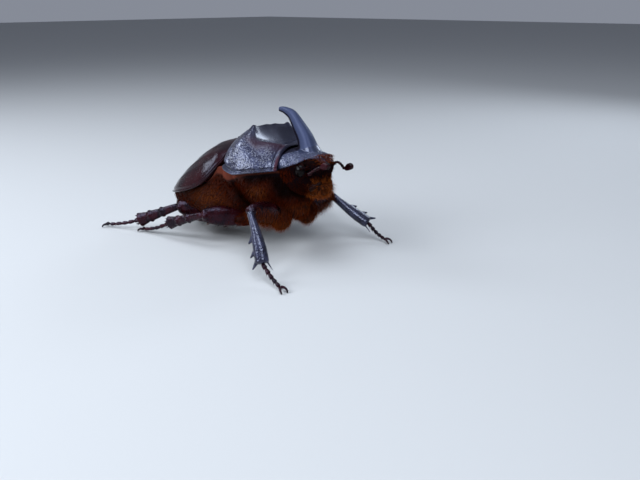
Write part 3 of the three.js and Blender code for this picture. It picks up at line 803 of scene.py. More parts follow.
def elytron(word):
    e = Elytra
    shape, under = (230, 170), 12
    rows, columns = shape
    x = lerp(e.base, e.apex, np.sin(np.linspace(0, 0.5 * math.pi, rows)))[:, None]
    half = elytra_half_width(x)
    y = np.maximum(e.gap, half * np.sin(np.linspace(0, 0.5 * math.pi, columns)))
    z = elytra_top(x, y) + 0.02
    floor = elytra_margin(x)
    z[:, -1:] = floor
    top = grid(x, y, z)
    across = np.linspace(1, 0, under + 1)[1:]
    low_y = np.maximum(e.gap, half * across)
    low_z = floor + 0.3 * (1 - across**4)
    low = grid(x, low_y, low_z)
    rings = np.concatenate([top, low], axis=1)
    rings[..., 1] *= SIDES[word]

    from_suture = girth(top)
    from_side = from_suture[:, -1:] - from_suture
    relief = hump(from_suture - 0.2, 0.06, 0.2) - hump(from_suture - 0.62, 0.07, 0.13)
    relief += hump(from_side - 0.12, 0.12, 0.12) - hump(from_side - 0.38, 0.12, 0.16)
    fade = smooth01((e.base - 1.5 - x) / 3) * smooth01((x - e.apex - 2) / 4)
    for rib in (0.3, 0.5, 0.68, 0.83):
        relief += hump(y / half - rib, 0.05, 0.035) * fade
    obj = solid(f"elytron_{word}", [rings])
    swell(obj, plate_values(relief, shape, under))
    rough = rise(from_side, 0.5, 0.8) * rise(from_suture, 0.4, 0.6)
    store(obj, "rough", plate_values(rough, shape, under))
    relieve(obj, "elytra", pits=(0.45, 0.01), wrinkles=(1.3, 0.012), stretch=(0.4, 1.0, 1.0))
    return obj


def scutellum():
    rows, columns = 60, 50
    front, length, half_width = -0.95, 2.6, 1.8
    t = shares(rows)[:, None]
    x = front - t * length
    half = half_width * (1 - t**1.6) ** 0.75 + 0.06
    c, s = circle(columns)
    y = half * c
    top = elytra_top(x, 0) + 0.16
    z = top - 0.3 * (y / half_width) ** 2 + 0.16 * s - 0.28 * (1 - s)
    rim = hump(np.abs(c) - 0.86, 0.05, 0.08) * (s > 0)
    obj = solid("scutellum", [grid(x, y, z + rim)])
    store(obj, "rough", 1.0)
    relieve(obj, "elytra", pits=(0.2, 0.04))
    return obj


# ---- head and horn

# The head from neck to clypeus: x, half width and height of the cheek ridge, height of the
# crown, half width of the cheek under the ridge, and the lowest z.
HEAD_STATIONS = [
    (8.4, 3.8, -0.6, 1.9, 3.3, -4.2),
    (9.6, 4.6, -0.45, 2.25, 4.0, -4.8),
    (10.6, 4.55, -0.3, 2.15, 4.0, -5.0),
    (11.4, 4.2, -0.2, 1.9, 3.7, -4.9),
    (12.2, 3.6, -0.05, 1.6, 3.2, -4.6),
    (13.0, 2.95, 0.3, 1.35, 2.75, -4.3),
    (13.7, 2.35, 0.45, 1.1, 2.35, -3.8),
    (14.2, 1.9, 0.4, 0.8, 2.0, -3.2),
    (14.6, 1.6, 0.2, 0.45, 1.6, -2.7),
    (14.95, 1.25, -0.4, -0.2, 1.25, -2.2),
]
# The horn from its foot to its tip: x, z, half depth and half width.
HORN_STATIONS = [
    (12.0, -0.6, 2.3, 2.0),
    (11.85, 0.6, 1.95, 1.65),
    (11.6, 1.8, 1.55, 1.3),
    (11.25, 3.4, 1.25, 1.02),
    (10.35, 5.15, 1.02, 0.82),
    (9.3, 6.95, 0.78, 0.62),
    (8.2, 7.75, 0.58, 0.47),
    (7.4, 8.1, 0.45, 0.37),
    (6.7, 8.25, 0.34, 0.3),
]
HORN_CUT = (11.6, 0.0, 1.8)  # where the horn is parted from the head
HORN_WAY = (-0.2, 0.0, 1.0)
HORN_STEPS = 130
EYE_CENTRE = (12.3, 3.0, -1.15)
EYE_RADII = (1.0, 0.85, 0.95)


def mirrored(points, side):
    return np.asarray(points, float) * (1, side, 1)


def head_rings():
    """The crown slopes from the horn's foot to a ridge on each side; the cheeks tuck in below."""
    x, ridge, ridge_z, crown, cheek, low = spline(HEAD_STATIONS, 90).T[:, :, None]
    c, sine = circle(120)
    s = np.abs(sine)
    upper = ridge_z + (crown - ridge_z) * s ** lerp(0.95, 1.5, rise(x, 9.8, 2.4))
    tuck = np.exp(-((s / 0.2) ** 2))
    lower = ridge_z + (low - ridge_z) * s**0.9
    below = sine < 0
    y = c * np.where(below, (cheek + (ridge - cheek) * tuck) * (1 + 0.12 * (1 - c**2)), ridge)
    z = np.where(below, lower, upper)
    return grid(x, y, z)


def horn_rings():
    """A horn with flat sides, leaning back and pointed at the tip."""
    x, z, depth, width = spline(HORN_STATIONS, HORN_STEPS).T
    path = np.column_stack([x, 0 * x, z])
    tip = blunt(shares(HORN_STEPS), 0.001, 0.03)
    return sweep(path, (1, 0, 0.15), depth * tip, width * tip, 80, 2.6)


def horn_share(points):
    """How far back on the horn each point lies, from -1 at its front edge to 1 behind."""
    x, z, depth, _ = spline(HORN_STATIONS, HORN_STEPS).T
    line = np.column_stack([x, z])
    nearest = np.argmin(((points[:, None, [0, 2]] - line) ** 2).sum(-1), axis=1)
    ahead = unit(np.gradient(line, axis=0))
    behind = np.column_stack([-ahead[:, 1], ahead[:, 0]])
    return ((points[:, [0, 2]] - line[nearest]) * behind[nearest]).sum(-1) / depth[nearest]


def ridge_level(x):
    """The height of the head's ridge."""
    station = np.array(HEAD_STATIONS)
    return np.interp(x, station[:, 0], station[:, 2])


def head_shells():
    shells = [head_rings(), horn_rings()]
    ridge_points = [(x, y - 0.12, z) for x, y, z, _, _, _ in HEAD_STATIONS[2:9]]
    x, y, z = EYE_CENTRE
    for side in SIDES.values():
        ridge = spline(mirrored(ridge_points, side), 50)
        end = blunt(shares(50), 0.1, 0.12)
        shells.append(sweep(ridge, UP, 0.13 * end, 0.2 * end, 20))
        c, s = circle(60)
        rim = grid(x + c, side * (y + 0.1), z + 0.95 * s)
        shells.append(rim_rings(rim, 0.14))
        shells.append(ball((x + 0.85, side * (y + 0.1), z + 0.25), (0.8, 0.62, 0.15)))
        shells.append(ball((14.3, side * 1.1, 0.42), (0.34, 0.42, 0.26)))
    return shells


def rim_rings(loop, radius):
    """A round bead along a closed loop that lies square to y, as rings whose ends meet."""
    centre = loop.mean(0)
    outward = unit(loop - centre)
    c, s = circle(12)
    ring = outward[:, None] * c[:, None] + np.array([0, 1, 0]) * s[:, None]
    rings = loop[:, None] + radius * ring
    return np.concatenate([rings, rings[:1]])


def two_finishes(obj, finishes, second):
    """Gives a piece its two finishes, the second where `second` says so of a face."""
    obj.data.materials.clear()
    for finish in finishes:
        obj.data.materials.append(FINISH[finish])
    obj.data.polygons.foreach_set("material_index", second.astype(np.int32))


def head_and_horn():
    """One skin, parted at the horn's foot so that head and horn stay separate pieces."""
    body = fused("head", head_shells(), 0.075, 4)
    points = points_of(body)
    x, y, z = points.T
    on_horn = smooth01((z - lerp(2.2, 0.7, fall(np.hypot(x - 11.7, y), 2.4, 0.7))) / 0.5)
    lower = fall(z, -0.5, 0.5)
    store(body, "rough", (1 - on_horn) * (1 - 0.6 * lower))
    store(body, "polished", on_horn)
    behind = rise(horn_share(points), 0.1, 0.3)
    # Low on the face and on the back of the horn the tone goes near black: painted shade.
    store(body, "painted_shade", 0.95 * np.maximum(fall(z, -0.35, 0.5), behind * on_horn))
    unwrap(body)
    relieve(body, "crown", pits=(0.3, 0.07), wrinkles=(0.55, 0.16), stretch=(1.0, 0.6, 1.0))
    horn = copied(body, "horn")
    for obj, keep in ((body, -1), (horn, 1)):
        part(obj, HORN_CUT, keep * unit(np.array(HORN_WAY)))
    middles = face_centres(body)
    # Under the ridge the face takes a near-black finish: partly the face's own colour, partly painted shade.
    two_finishes(body, ("crown", "face"), middles[:, 2] < ridge_level(middles[:, 0]) - 0.12)
    two_finishes(horn, ("horn", "shade"), horn_share(face_centres(horn)) > 0.36)
    return body, horn


def face_coats(head):
    """Cheek tufts, a fringe under the brow, a brush on the muzzle and a beard."""
    x, y, z = points_of(head).T
    outside = np.column_stack([0 * x, np.sign(y), 0 * x])
    under = ridge_level(x) - z
    cheek = fall(x, 11.7, 0.7) * rise(under, 0, 0.3) * fall(under, 2.6, 1.0)
    brow = rise(under, 0.05, 0.1) * fall(under, 0.5, 0.2) * rise(x, 11.2, 0.5)
    muzzle = rise(x, 13.9, 0.4) * rise(z, -0.9, 0.4)
    beard = fall(z, -2.6, 0.9) * rise(x, 10.2, 0.8)
    beard = np.maximum(beard, fall(z, -1.9, 0.6) * rise(x, 12.9, 0.6))
    face = 0.8 * rise(under, 0.3, 0.4)
    foremost = lerp(-0.5, 0.6, rise(x, 12.6, 1.2))
    chin = lerp(-0.6, 1.0, rise(x, 11.7, 1.2))
    # The fourth column is painted light and tone: below 0 it is painted shade, as on the face coat and the
    # back of the brow and beard; above 0 it is golden tone, with painted light on the beard's front.
    kinds = [
        ("cheeks", cheek, outside * 0.3 + (0.2, 0, -1), 0.1, 34.0, 0.8),
        ("brow", brow, outside * 0.9 + (0.8, 0, 0.1), foremost, 50.0, 0.65),
        ("muzzle", muzzle, (1.0, 0, 0.1), 0.4, 60.0, 0.55),
        ("beard", beard, outside * 0.2 + (0.5, 0, -1), chin, 40.0, 1.1),
        ("face", face, (0.5, 0, -1), -0.5, 22.0, 0.45),
    ]
    coats = []
    for seed, (name, fur, lie, painted_light_and_tone, density, length) in enumerate(kinds, 3):
        sizes = {"density": density, "length": length, "seed": seed}
        coats.append(grow(f"coat_{name}", head, fur, lie, painted_light_and_tone, width=0.02, lift=0.6, mess=0.35, **sizes))
    return coats


def part(obj, point, normal):
    """Cuts a piece at a plane and keeps the side the normal points to, closed by a flat face."""
    bm = bmesh.new()
    bm.from_mesh(obj.data)
    whole = bm.verts[:] + bm.edges[:] + bm.faces[:]
    bmesh.ops.bisect_plane(bm, geom=whole, plane_co=point, plane_no=normal, clear_inner=True)
    rim = [edge for edge in bm.edges if edge.is_boundary]
    made = bmesh.ops.holes_fill(bm, edges=rim, sides=0)["faces"]
    for edge in {edge for face in made for edge in face.edges}:
        edge.smooth = False
    bmesh.ops.triangulate(bm, faces=made)
    bm.to_mesh(obj.data)
    bm.free()


def eye(word):
    rings = ball(mirrored(EYE_CENTRE, SIDES[word]), EYE_RADII, 60, 80)
    obj = solid(f"eye_{word}", [rings])
    obj.data.materials.append(FINISH["eye"])
    return obj


def mandible(word):
    side = SIDES[word]
    path = spline(mirrored([(12.5, 1.7, -4.1), (13.5, 1.6, -3.75), (14.35, 1.0, -3.2)], side), 36)
    t = shares(36)
    end = blunt(t, 0.1, 0.2)
    blade = sweep(path, UP, lerp(0.45, 0.24, t) * end, lerp(0.55, 0.3, t) * end, 24)
    lobe = ball(mirrored((13.4, 1.8, -3.65), side), (0.5, 0.3, 0.32), 16, 24)
    return fused(f"mandible_{word}", [blade, lobe], 0.06, 4, "mouth")


def jointed(path, count, radius, waist=0.72):
    """Shells of `count` segments strung along a path, each wider toward its far end."""
    shells = []
    stretch = len(path) // count
    for k in range(count):
        part_path = path[k * stretch : (k + 1) * stretch + 1]
        t = shares(len(part_path))
        swollen = lerp(waist, 1.0, np.sin(t * math.pi / 2) ** (1 / 1.3))
        size = radius(k) * swollen * blunt(t, 0.25, 0.3)
        shells.append(sweep(part_path, UP, size, size, 16))
    return shells


def mouthparts():
    shells = [ball((12.7, 0, -4.5), (1.7, 1.5, 0.9)), ball((13.7, 0, -3.9), (0.9, 1.3, 0.6))]
    for side in SIDES.values():
        outer = [(12.8, 0.9, -4.8), (13.3, 1.3, -4.8), (13.8, 1.4, -4.4), (14.2, 1.2, -3.9)]
        inner = [(13.3, 0.4, -4.7), (13.7, 0.6, -4.7), (14.1, 0.65, -4.3)]
        shells += jointed(spline(mirrored(outer, side), 45), 4, lambda k: 0.24 + 0.03 * k)
        shells += jointed(spline(mirrored(inner, side), 34), 3, lambda k: 0.18 + 0.02 * k)
    obj = fused("mouthparts", shells, 0.06, 2, "mouth")
    unwrap(obj)
    return obj


def mouth_coat(mouth):
    x, y, _ = points_of(mouth).T
    fan = np.column_stack([0.5 + 0 * x, 0.2 * y, -1.0 + 0 * x])
    sizes = {"density": 40.0, "length": 1.0, "width": 0.022, "lift": 0.7, "mess": 0.35, "seed": 8}
    return grow("coat_mouth", mouth, 1.0 + 0 * x, fan, 0.9, **sizes)


# Stalk and club: the left antenna is held out past the brow, the right one past the muzzle.
ANTENNAE = {
    "left": ([(12.6, 3.4, -1.6), (13.0, 3.9, -0.8), (13.8, 4.1, -0.9), (14.3, 4.6, -2.0)], (1.0, 0.45, 0.45)),
    "right": (
        [(13.3, -2.4, -1.9), (14.1, -3.05, -1.75), (15.0, -2.85, -1.3), (15.7, -2.35, -1.0)],
        (1.1, 0.4, 0.12),
    ),
}


def antenna(word):
    """A long first joint, six beads and a club of three leaves."""
    stalk, club = ANTENNAE[word]
    path = spline(stalk, 90)
    t = shares(34)
    size = lerp(0.16, 0.33, t) * blunt(t, 0.1, 0.15)
    shells = [sweep(path[:34], UP, size, size, 16)]
    shells += jointed(path[33:], 6, lambda k: 0.2 + 0.015 * k)
    root = path[-2]
    reach = np.array(club) * 1.15
    fan = unit(np.cross(reach, UP))
    t = shares(24)
    for leaf in (-1, 0, 1):
        foot = root + fan * 0.12 * leaf
        line = spline([foot, foot + reach * 0.5 + fan * 0.3 * leaf, foot + reach + fan * 0.46 * leaf], 24)
        wide = (0.2 + 0.32 * np.sin(t * 2.5)) * blunt(t, 0.1, 0.25)
        shells.append(sweep(line, UP, wide, 0.13 * blunt(t, 0.1, 0.2), 20))
    return fused(f"antenna_{word}", shells, 0.045, 1, "antenna")


# ---- underside

# Underside of the trunk: x, half width and lowest z, front to back.
KEEL = [
    (9.5, 4.1, -6.0),
    (8.2, 5.3, -7.3),
    (5.5, 6.8, -7.6),
    (2.5, 7.1, -7.1),
    (0.2, 6.3, -6.8),
    (-2.0, 7.3, -8.3),
    (-5.0, 7.7, -8.7),
    (-8.1, 7.7, -8.4),
    (-11.0, 7.4, -8.4),
    (-14.0, 6.4, -8.0),
    (-16.6, 4.5, -7.5),
]
HIPS = {"fore": (6.8, 2.8, -7.8), "middle": (-1.5, 2.8, -8.0), "hind": (-7.0, 3.0, -7.7)}
COXAE = {"fore": (1.4, 1.9, 1.9), "middle": (1.3, 2.0, 1.1), "hind": (1.5, 2.2, 1.0)}


def plate_margin(x):
    """The height of the plates' lower edge over the flesh."""
    return np.where(x > 0, pronotum_margin(np.maximum(x, 0)), elytra_margin(np.minimum(x, 0)))


def keel_rings():
    x, half, bottom = spline(KEEL, 150).T[:, :, None]
    margin = plate_margin(x)
    top = np.where(x > 0, margin, np.minimum(margin, 0.85)) + 0.02
    c, s = circle(120)
    reach = (np.abs(c) ** 1.9 + np.abs(s) ** 1.9) ** (-1 / 1.9)
    belt = 0.16 * np.sin((x + 8.3) * math.pi / 1.75) ** 16 * (x < -8.3)
    shrink = 1 - belt / half
    y = c * reach * half * shrink
    z = np.where(s > 0, top + (bottom - top) * s * reach * shrink, top + 0.1 * s)
    return grid(x, y, z)


def underside():
    """The flesh under the plates: belly, breast and hips in one skin."""
    shells = [
        keel_rings(),
        ball((7.6, 0, -7.0), (1.5, 2.2, 1.5)),
        ball((-0.7, 0, 0.4), (1.6, 5.8, 3.2)),
    ]
    for side in SIDES.values():
        shells.append(ball((0.4, side * 6.1, -0.9), (1.5, 1.0, 1.6)))
        shells += [ball(mirrored(HIPS[pair], side), COXAE[pair]) for pair in HIPS]
    obj = fused("underside", shells, 0.13, 5)
    unwrap(obj)
    points = points_of(obj)
    painted_light_and_tone = flesh_painted_light_and_tone(points)
    bare = smooth01((points[:, 2] - bare_band(points) + 0.3) / 0.4)
    store(obj, "rough", 1 - 0.8 * bare)
    # Lit patches take the thin skin tone, painted light, and bare skin takes it as its own colour; shaded
    # patches go near black, painted shade.
    store(obj, "thin", np.maximum(0.4 * painted_light_and_tone, bare))
    store(obj, "painted_shade", clamp01(-painted_light_and_tone) * (1 - bare))
    relieve(obj, "underside", pits=(0.35, 0.03))
    return obj


def bare_band(points):
    """The height above which the flesh is bare."""
    x = points[:, 0]
    band = lerp(-0.3, 0.25, rise(x, -5, 3))
    return np.minimum(plate_margin(x), 0.4) - band - hump(x - 0.9, 1.45, 1.8)


def flesh_painted_light_and_tone(points):
    """Painted light and shade on the flesh and its pile, with the tone of some golden fringes: from 1 on lit
    patches down to -1 in the deepest painted shade.
    """
    x, _, z = points.T

    def spot(at_x, at_z, length, height, strength):
        return hump(np.hypot((x - at_x) / length, (z - at_z) / height), strength, 1.0)

    # Painted light on the abdomen's side and the breast; the beard and the lowest fringe are golden in their
    # own tone and lit too.
    golden = [spot(-4.6, -3.9, 3.8, 2.2, 0.9), spot(6.2, -3.2, 2.2, 1.1, 0.9)]
    golden += [spot(10.5, -6.3, 2.8, 1.8, 0.8), hump(z + 9.2, 0.6, 1.4) * (x > 4)]
    # Painted shade: two spots and a band under the pronotum's edge.
    painted_shade = [spot(1.6, -4.4, 1.7, 2.3, 1.7), spot(9.9, -2.9, 1.9, 2.2, 1.9)]
    painted_shade.append(hump(z + 1.2, 1.2, 0.7) * rise(x, 3.5, 2.5))
    return np.clip(np.max(golden, axis=0) - np.max(painted_shade, axis=0), -1, 1)


def grow(name, skin, fur, lie, painted_light_and_tone, **sizes):
    """A coat piece: `fur` 0 to 1 for its length, `lie` its way, and its painted light and tone from -1,
    painted shade, to 1, painted light and golden tone.
    """
    coat = copied(skin, name)
    for spare in ("rough", "thin", "painted_shade", "polished"):
        if spare in coat.data.attributes:
            coat.data.attributes.remove(coat.data.attributes[spare])
    normals = normals_of(coat)
    along = unit(np.broadcast_to(np.asarray(lie, float), normals.shape))
    store(coat, "fur", clamp01(fur))
    store(coat, "painted_light_and_tone", painted_light_and_tone)
    store(coat, "lie", unit(along - normals * (along * normals).sum(-1, keepdims=True)))
    run_tree(coat, COAT, "hair", sizes)
    return coat


def trunk_coats(skin):
    """The pile of the belly, breast and hips, a piece for each stretch of each side."""
    points = points_of(skin)
    x, y, z = points.T
    painted_light_and_tone = flesh_painted_light_and_tone(points)
    reach = smooth01((bare_band(points) - z) / 0.6)
    below = smooth01((-normals_of(skin)[:, 2] - 0.2) / 0.5)
    kinds = [
        ("breast", rise(x, -0.4, 0.8) * lerp(0.75, 1.0, below), (-0.55, -1.0), 38.0, 1.25),
        ("belly", fall(x, 0.9, 0.8) * lerp(0.9, 0.6, below), (-1.0, -0.55), 34.0, 0.95),
    ]
    coats = []
    for seed, (name, fur, (back, down), density, length) in enumerate(kinds, 1):
        sizes = {"density": density, "length": length, "width": 0.026, "lift": 0.4, "seed": seed}
        for word, side in SIDES.items():
            here = reach * fur * smooth01(side * y / 0.4 + 0.5)
            way = (back, side * 0.1, down)
            coats.append(grow(f"coat_{name}_{word}", skin, here, way, painted_light_and_tone, **sizes))
    return coats


def unwrap(obj):
    """Lays a skin out flat in a map of its own."""
    bpy.context.view_layer.objects.active = obj
    obj.select_set(True)
    bpy.ops.object.mode_set(mode="EDIT")
    bpy.ops.mesh.select_all(action="SELECT")
    bpy.ops.uv.smart_project(angle_limit=math.radians(66), island_margin=0.002)
    bpy.ops.object.mode_set(mode="OBJECT")
    obj.select_set(False)
    obj.data.uv_layers[0].name = "unwrap"


def pygidium():
    obj = solid("pygidium", [ball(PYGIDIUM_CENTRE, PYGIDIUM_RADII, 90, 130)])
    store(obj, "rough", 1.0)
    relieve(obj, "elytra", pits=(0.25, 0.03), wrinkles=(0.5, 0.03))
    return obj


# ---- legs

# Joints of the six legs on the floor: knee, ankle, and where the foot ends.
LEGS = {
    ("fore", "right"): ((8.95, -10.3, 9.2), (12.85, -11.8, 2.2), (17.1, -12.9)),
    ("fore", "left"): ((7.3, 9.8, 6.9), (13.6, 12.3, 2.5), (16.6, 12.2)),
    ("middle", "right"): ((-3.4, -9, 5.6), (-11.3, -9.8, 2.8), (-17.1, -10.6)),
    ("middle", "left"): ((-0.3, 9.6, 6.2), (-3.6, 16.2, 2.2), (-6, 21.2)),
    ("hind", "right"): ((-11.3, -7.6, 5.2), (-18.7, -10.6, 1.9), (-24, -13)),
    ("hind", "left"): ((-11, 8.2, 5.2), (-17, 13.6, 2), (-22, 17.4)),
}
TEETH = {"right": (-0.8, -0.6, 0), "left": (-0.2, 0.7, 0.6)}  # the way a fore shank's teeth point
FEMUR_SIZE = {"fore": (1.6, 1.05), "middle": (1.7, 0.95), "hind": (1.8, 1.0)}
TIBIA_SIZE = {"fore": (2.2, 0.75), "middle": (1.25, 0.8), "hind": (1.4, 0.85)}


def leg_frame(start, end, toward):
    """Unit axes of a leg segment: along it, across (nearest to `toward`) and over."""
    along = unit(np.subtract(end, start).astype(float))
    over = unit(np.cross(along, toward))
    return along, np.cross(over, along), over


def straight(start, end, count):
    return lerp(np.asarray(start, float), np.asarray(end, float), shares(count)[:, None])


def hip_of(pair, word):
    """Where a leg leaves the trunk, in the floor's frame."""
    return trunk_to_floor(mirrored(HIPS[pair], SIDES[word]))


def femur(pair, word):
    knee = np.array(LEGS[pair, word][0])
    depth, thickness = FEMUR_SIZE[pair]
    hip = hip_of(pair, word)
    along, across, over = leg_frame(hip, knee, UP)
    t = shares(70)
    path = straight(hip, knee + along * 0.25, 70) + across * (0.18 * np.sin(math.pi * t))[:, None]
    belly = np.sin(math.pi * (0.12 + 0.79 * t)) ** 0.6 * blunt(t, 0.05, 0.07)
    shells = [sweep(path, UP, depth * belly, thickness * belly, 48, 2.2)]
    for side in (-1, 1):
        cheek = knee - along * 0.35 + over * side * thickness * 0.36
        shells.append(ball(cheek, (0.55, 0.55, 0.62), 16, 20))
    shells.append(ball(hip + along * 1.1 - across * 0.4, (1.0, 1.0, 0.9), 16, 20))
    obj = fused(f"femur_{pair}_{word}", shells, 0.11, 5)
    unwrap(obj)
    finish_leg(obj, "leg", 0.5)
    return obj


def femur_coat(thigh, pair, word):
    """A fringe under the thigh, thick and long on the fore leg."""
    knee = LEGS[pair, word][0]
    hip = hip_of(pair, word)
    along, across, _ = leg_frame(hip, knee, UP)
    points = points_of(thigh) - hip
    share = points @ along / np.linalg.norm(knee - hip)
    drop = -(points @ across) / FEMUR_SIZE[pair][0]
    fore = pair == "fore"
    fur = smooth01((drop + (0.8 if fore else 0.35)) / 0.7) * fall(share, 1.0, 0.15)
    sizes = {"density": 20.0, "length": 1.5, "width": 0.028, "lift": 0.5, "mess": 0.4, "seed": 9}
    if not fore:
        fur = fur * smooth01(np.cos(share * 30) + 0.3)
        sizes.update(density=5.0, length=0.8)
    painted_light_and_tone = 0.45 if fore else 0.2
    return grow(f"coat_femur_{pair}_{word}", thigh, fur, along * 0.5 - UP, painted_light_and_tone, **sizes)


def finish_leg(obj, finish, pits, rough=1.0):
    store(obj, "rough", rough)
    relieve(obj, finish, pits=(pits, 0.025), wrinkles=(0.9, 0.05))


def spike(root, reach, radius, count=14):
    """A tapering thorn from `root`, its tip `reach` away."""
    t = shares(count)
    path = np.asarray(root) + np.asarray(reach) * t[:, None]
    size = radius * lerp(1.0, 0.22, t**0.8) * blunt(t, 0.01, 0.12)
    return sweep(path, unit(np.cross(reach, (0.3, 0.5, 0.8))), size, size, 12)


def shank_frame(pair, word, toward, short):
    """A shank's width, thickness, axes, knee, and length less what its foot takes."""
    knee, ankle, _ = LEGS[pair, word]
    length = np.linalg.norm(np.subtract(ankle, knee)) - short
    return *TIBIA_SIZE[pair], *leg_frame(knee, ankle, toward), np.array(knee), length


def fore_tibia(word):
    """A flat digging blade with three teeth on its outer edge and a spur inside its end."""
    width, thickness, along, across, over, knee, length = shank_frame("fore", word, TEETH[word], 0.2)
    t = shares(60)
    path = knee + along * (length * t)[:, None] - across * (width * 0.07 * np.sin(math.pi * t))[:, None]
    half = width * lerp(0.25, 0.46, rise(t, 0.1, 0.7)) * blunt(t, 0.06, 0.05)
    shells = [sweep(path, across, half, thickness * blunt(t, 0.08, 0.06), 40, 2.1)]
    for side in (-1, 1):
        crest = path[4:-4] + over * side * thickness * 0.75
        size = blunt(shares(len(crest)), 0.1, 0.1)
        shells.append(sweep(crest, across, 0.14 * size, 0.16 * size, 12))
    for at, size, lean in ((1.0, 1.35, 1.0), (0.83, 1.25, 0.8), (0.6, 1.0, 0.8)):
        root = knee + along * (length * at - 0.9) + across * width * 0.18
        shells.append(spike(root, (across * 0.9 + along * lean) * size, 0.48))
    spur = knee + along * (length - 0.45) - across * width * 0.3
    shells.append(spike(spur, along * 1.7 - across * 0.6, 0.19))
    obj = fused(f"tibia_fore_{word}", shells, 0.07, 3)
    finish_leg(obj, "shank", 0.35)
    return obj


def rear_tibia(pair, word):
    """A flaring shank with two slanting toothed rings, a crown of thorns and two spurs."""
    width, thickness, along, across, over, knee, length = shank_frame(pair, word, UP, 0.12)
    t = shares(90)
    flare = 0.42 + 0.3 * t + 0.22 * t**7
    for at in (0.4, 0.7):
        flare += hump(t - at, 0.12, 0.035) - hump(t - at - 0.07, 0.05, 0.04)
    path = straight(knee, knee + along * length, 90)
    size = blunt(t, 0.05, 0.02)
    shells = [sweep(path, across, width * flare * size, thickness * flare * size, 40)]
    for at, number, reach in ((0.4, 5, 0.5), (0.7, 6, 0.55), (0.985, 9, 0.5)):
        for angle in np.linspace(-2.0, 2.0, number):
            here = at - 0.025 * math.cos(angle)
            out = across * math.cos(angle) + over * math.sin(angle)
            rim = lerp(thickness, width, abs(math.cos(angle))) * np.interp(here, t, flare) * 0.82
            root = knee + along * length * here + out * rim
            shells.append(spike(root, along * reach + out * 0.24, 0.15, 10))
    for angle, reach in ((2.5, 1.5), (3.5, 1.15)):
        out = across * math.cos(angle) + over * math.sin(angle)
        root = knee + along * length * 0.96 + out * thickness * 0.5
        shells.append(spike(root, along * reach + out * 0.35, 0.22))
    obj = fused(f"tibia_{pair}_{word}", shells, 0.085, 2)
    finish_leg(obj, "leg", 0.4)
    return obj


def foot_line(pair, word, count):
    knee, ankle, foot = LEGS[pair, word]
    start = lerp(np.array(ankle, float), knee, 0.04)
    end = np.array([*foot, 0.62])
    middle = (start + end) / 2
    middle[2] = lerp(start[2], end[2], 0.62)
    return spline([start, middle, end], count)


def tarsus(pair, word):
    joints, steps = 5, 16
    path = foot_line(pair, word, joints * steps + 1)
    shells = jointed(path, joints, lambda k: 0.38 - 0.015 * k, waist=0.62)
    for k in range(steps, joints * steps, steps):
        ahead = unit(path[k] - path[k - 3])
        sideways = unit(np.cross(ahead, UP))
        for side in (-1, 1):
            root = path[k] - ahead * 0.25 + sideways * side * 0.28 - UP * 0.15
            shells.append(spike(root, ahead * 0.5 + sideways * side * 0.2 - UP * 0.12, 0.07, 8))
    obj = fused(f"tarsus_{pair}_{word}", shells, 0.06, 1)
    finish_leg(obj, "leg", 0.3, 0.5)
    return obj


def claws(pair, word):
    """Two hooks on a short stem, flat where they meet the floor."""
    line = foot_line(pair, word, 60)
    ahead = unit((line[-1] - line[-4]) * (1, 1, 0))
    sideways = np.array([-ahead[1], ahead[0], 0])
    start = line[-1] + ahead * 0.2
    shells = [spike(start + UP * 0.02 - ahead * 0.1, ahead * 0.7 - UP * 0.25, 0.12)]
    t = shares(30)
    size = blunt(t, 0.05, 0.05) * lerp(0.24, 0.1, t)
    for side in (-1, 1):
        steps = ((0, 0.1, 0.62), (0.5, 0.36, 0.66), (0.95, 0.5, 0.42), (1.2, 0.44, 0.08))
        hook = [start * (1, 1, 0) + ahead * x + sideways * side * y + UP * z for x, y, z in steps]
        shells.append(sweep(spline(hook, 30), UP, size, size, 16))
    obj = fused(f"claws_{pair}_{word}", shells, 0.05, 1)
    points = points_of(obj)
    points[:, 2] = np.maximum(points[:, 2], 0.0)
    move_points(obj, points)
    finish_leg(obj, "leg", 0.3, 0.2)
    return obj


# ---- finishes

CUTICLE = cuticle_group()
RELIEF = relief_tree()
COAT = coat_tree()

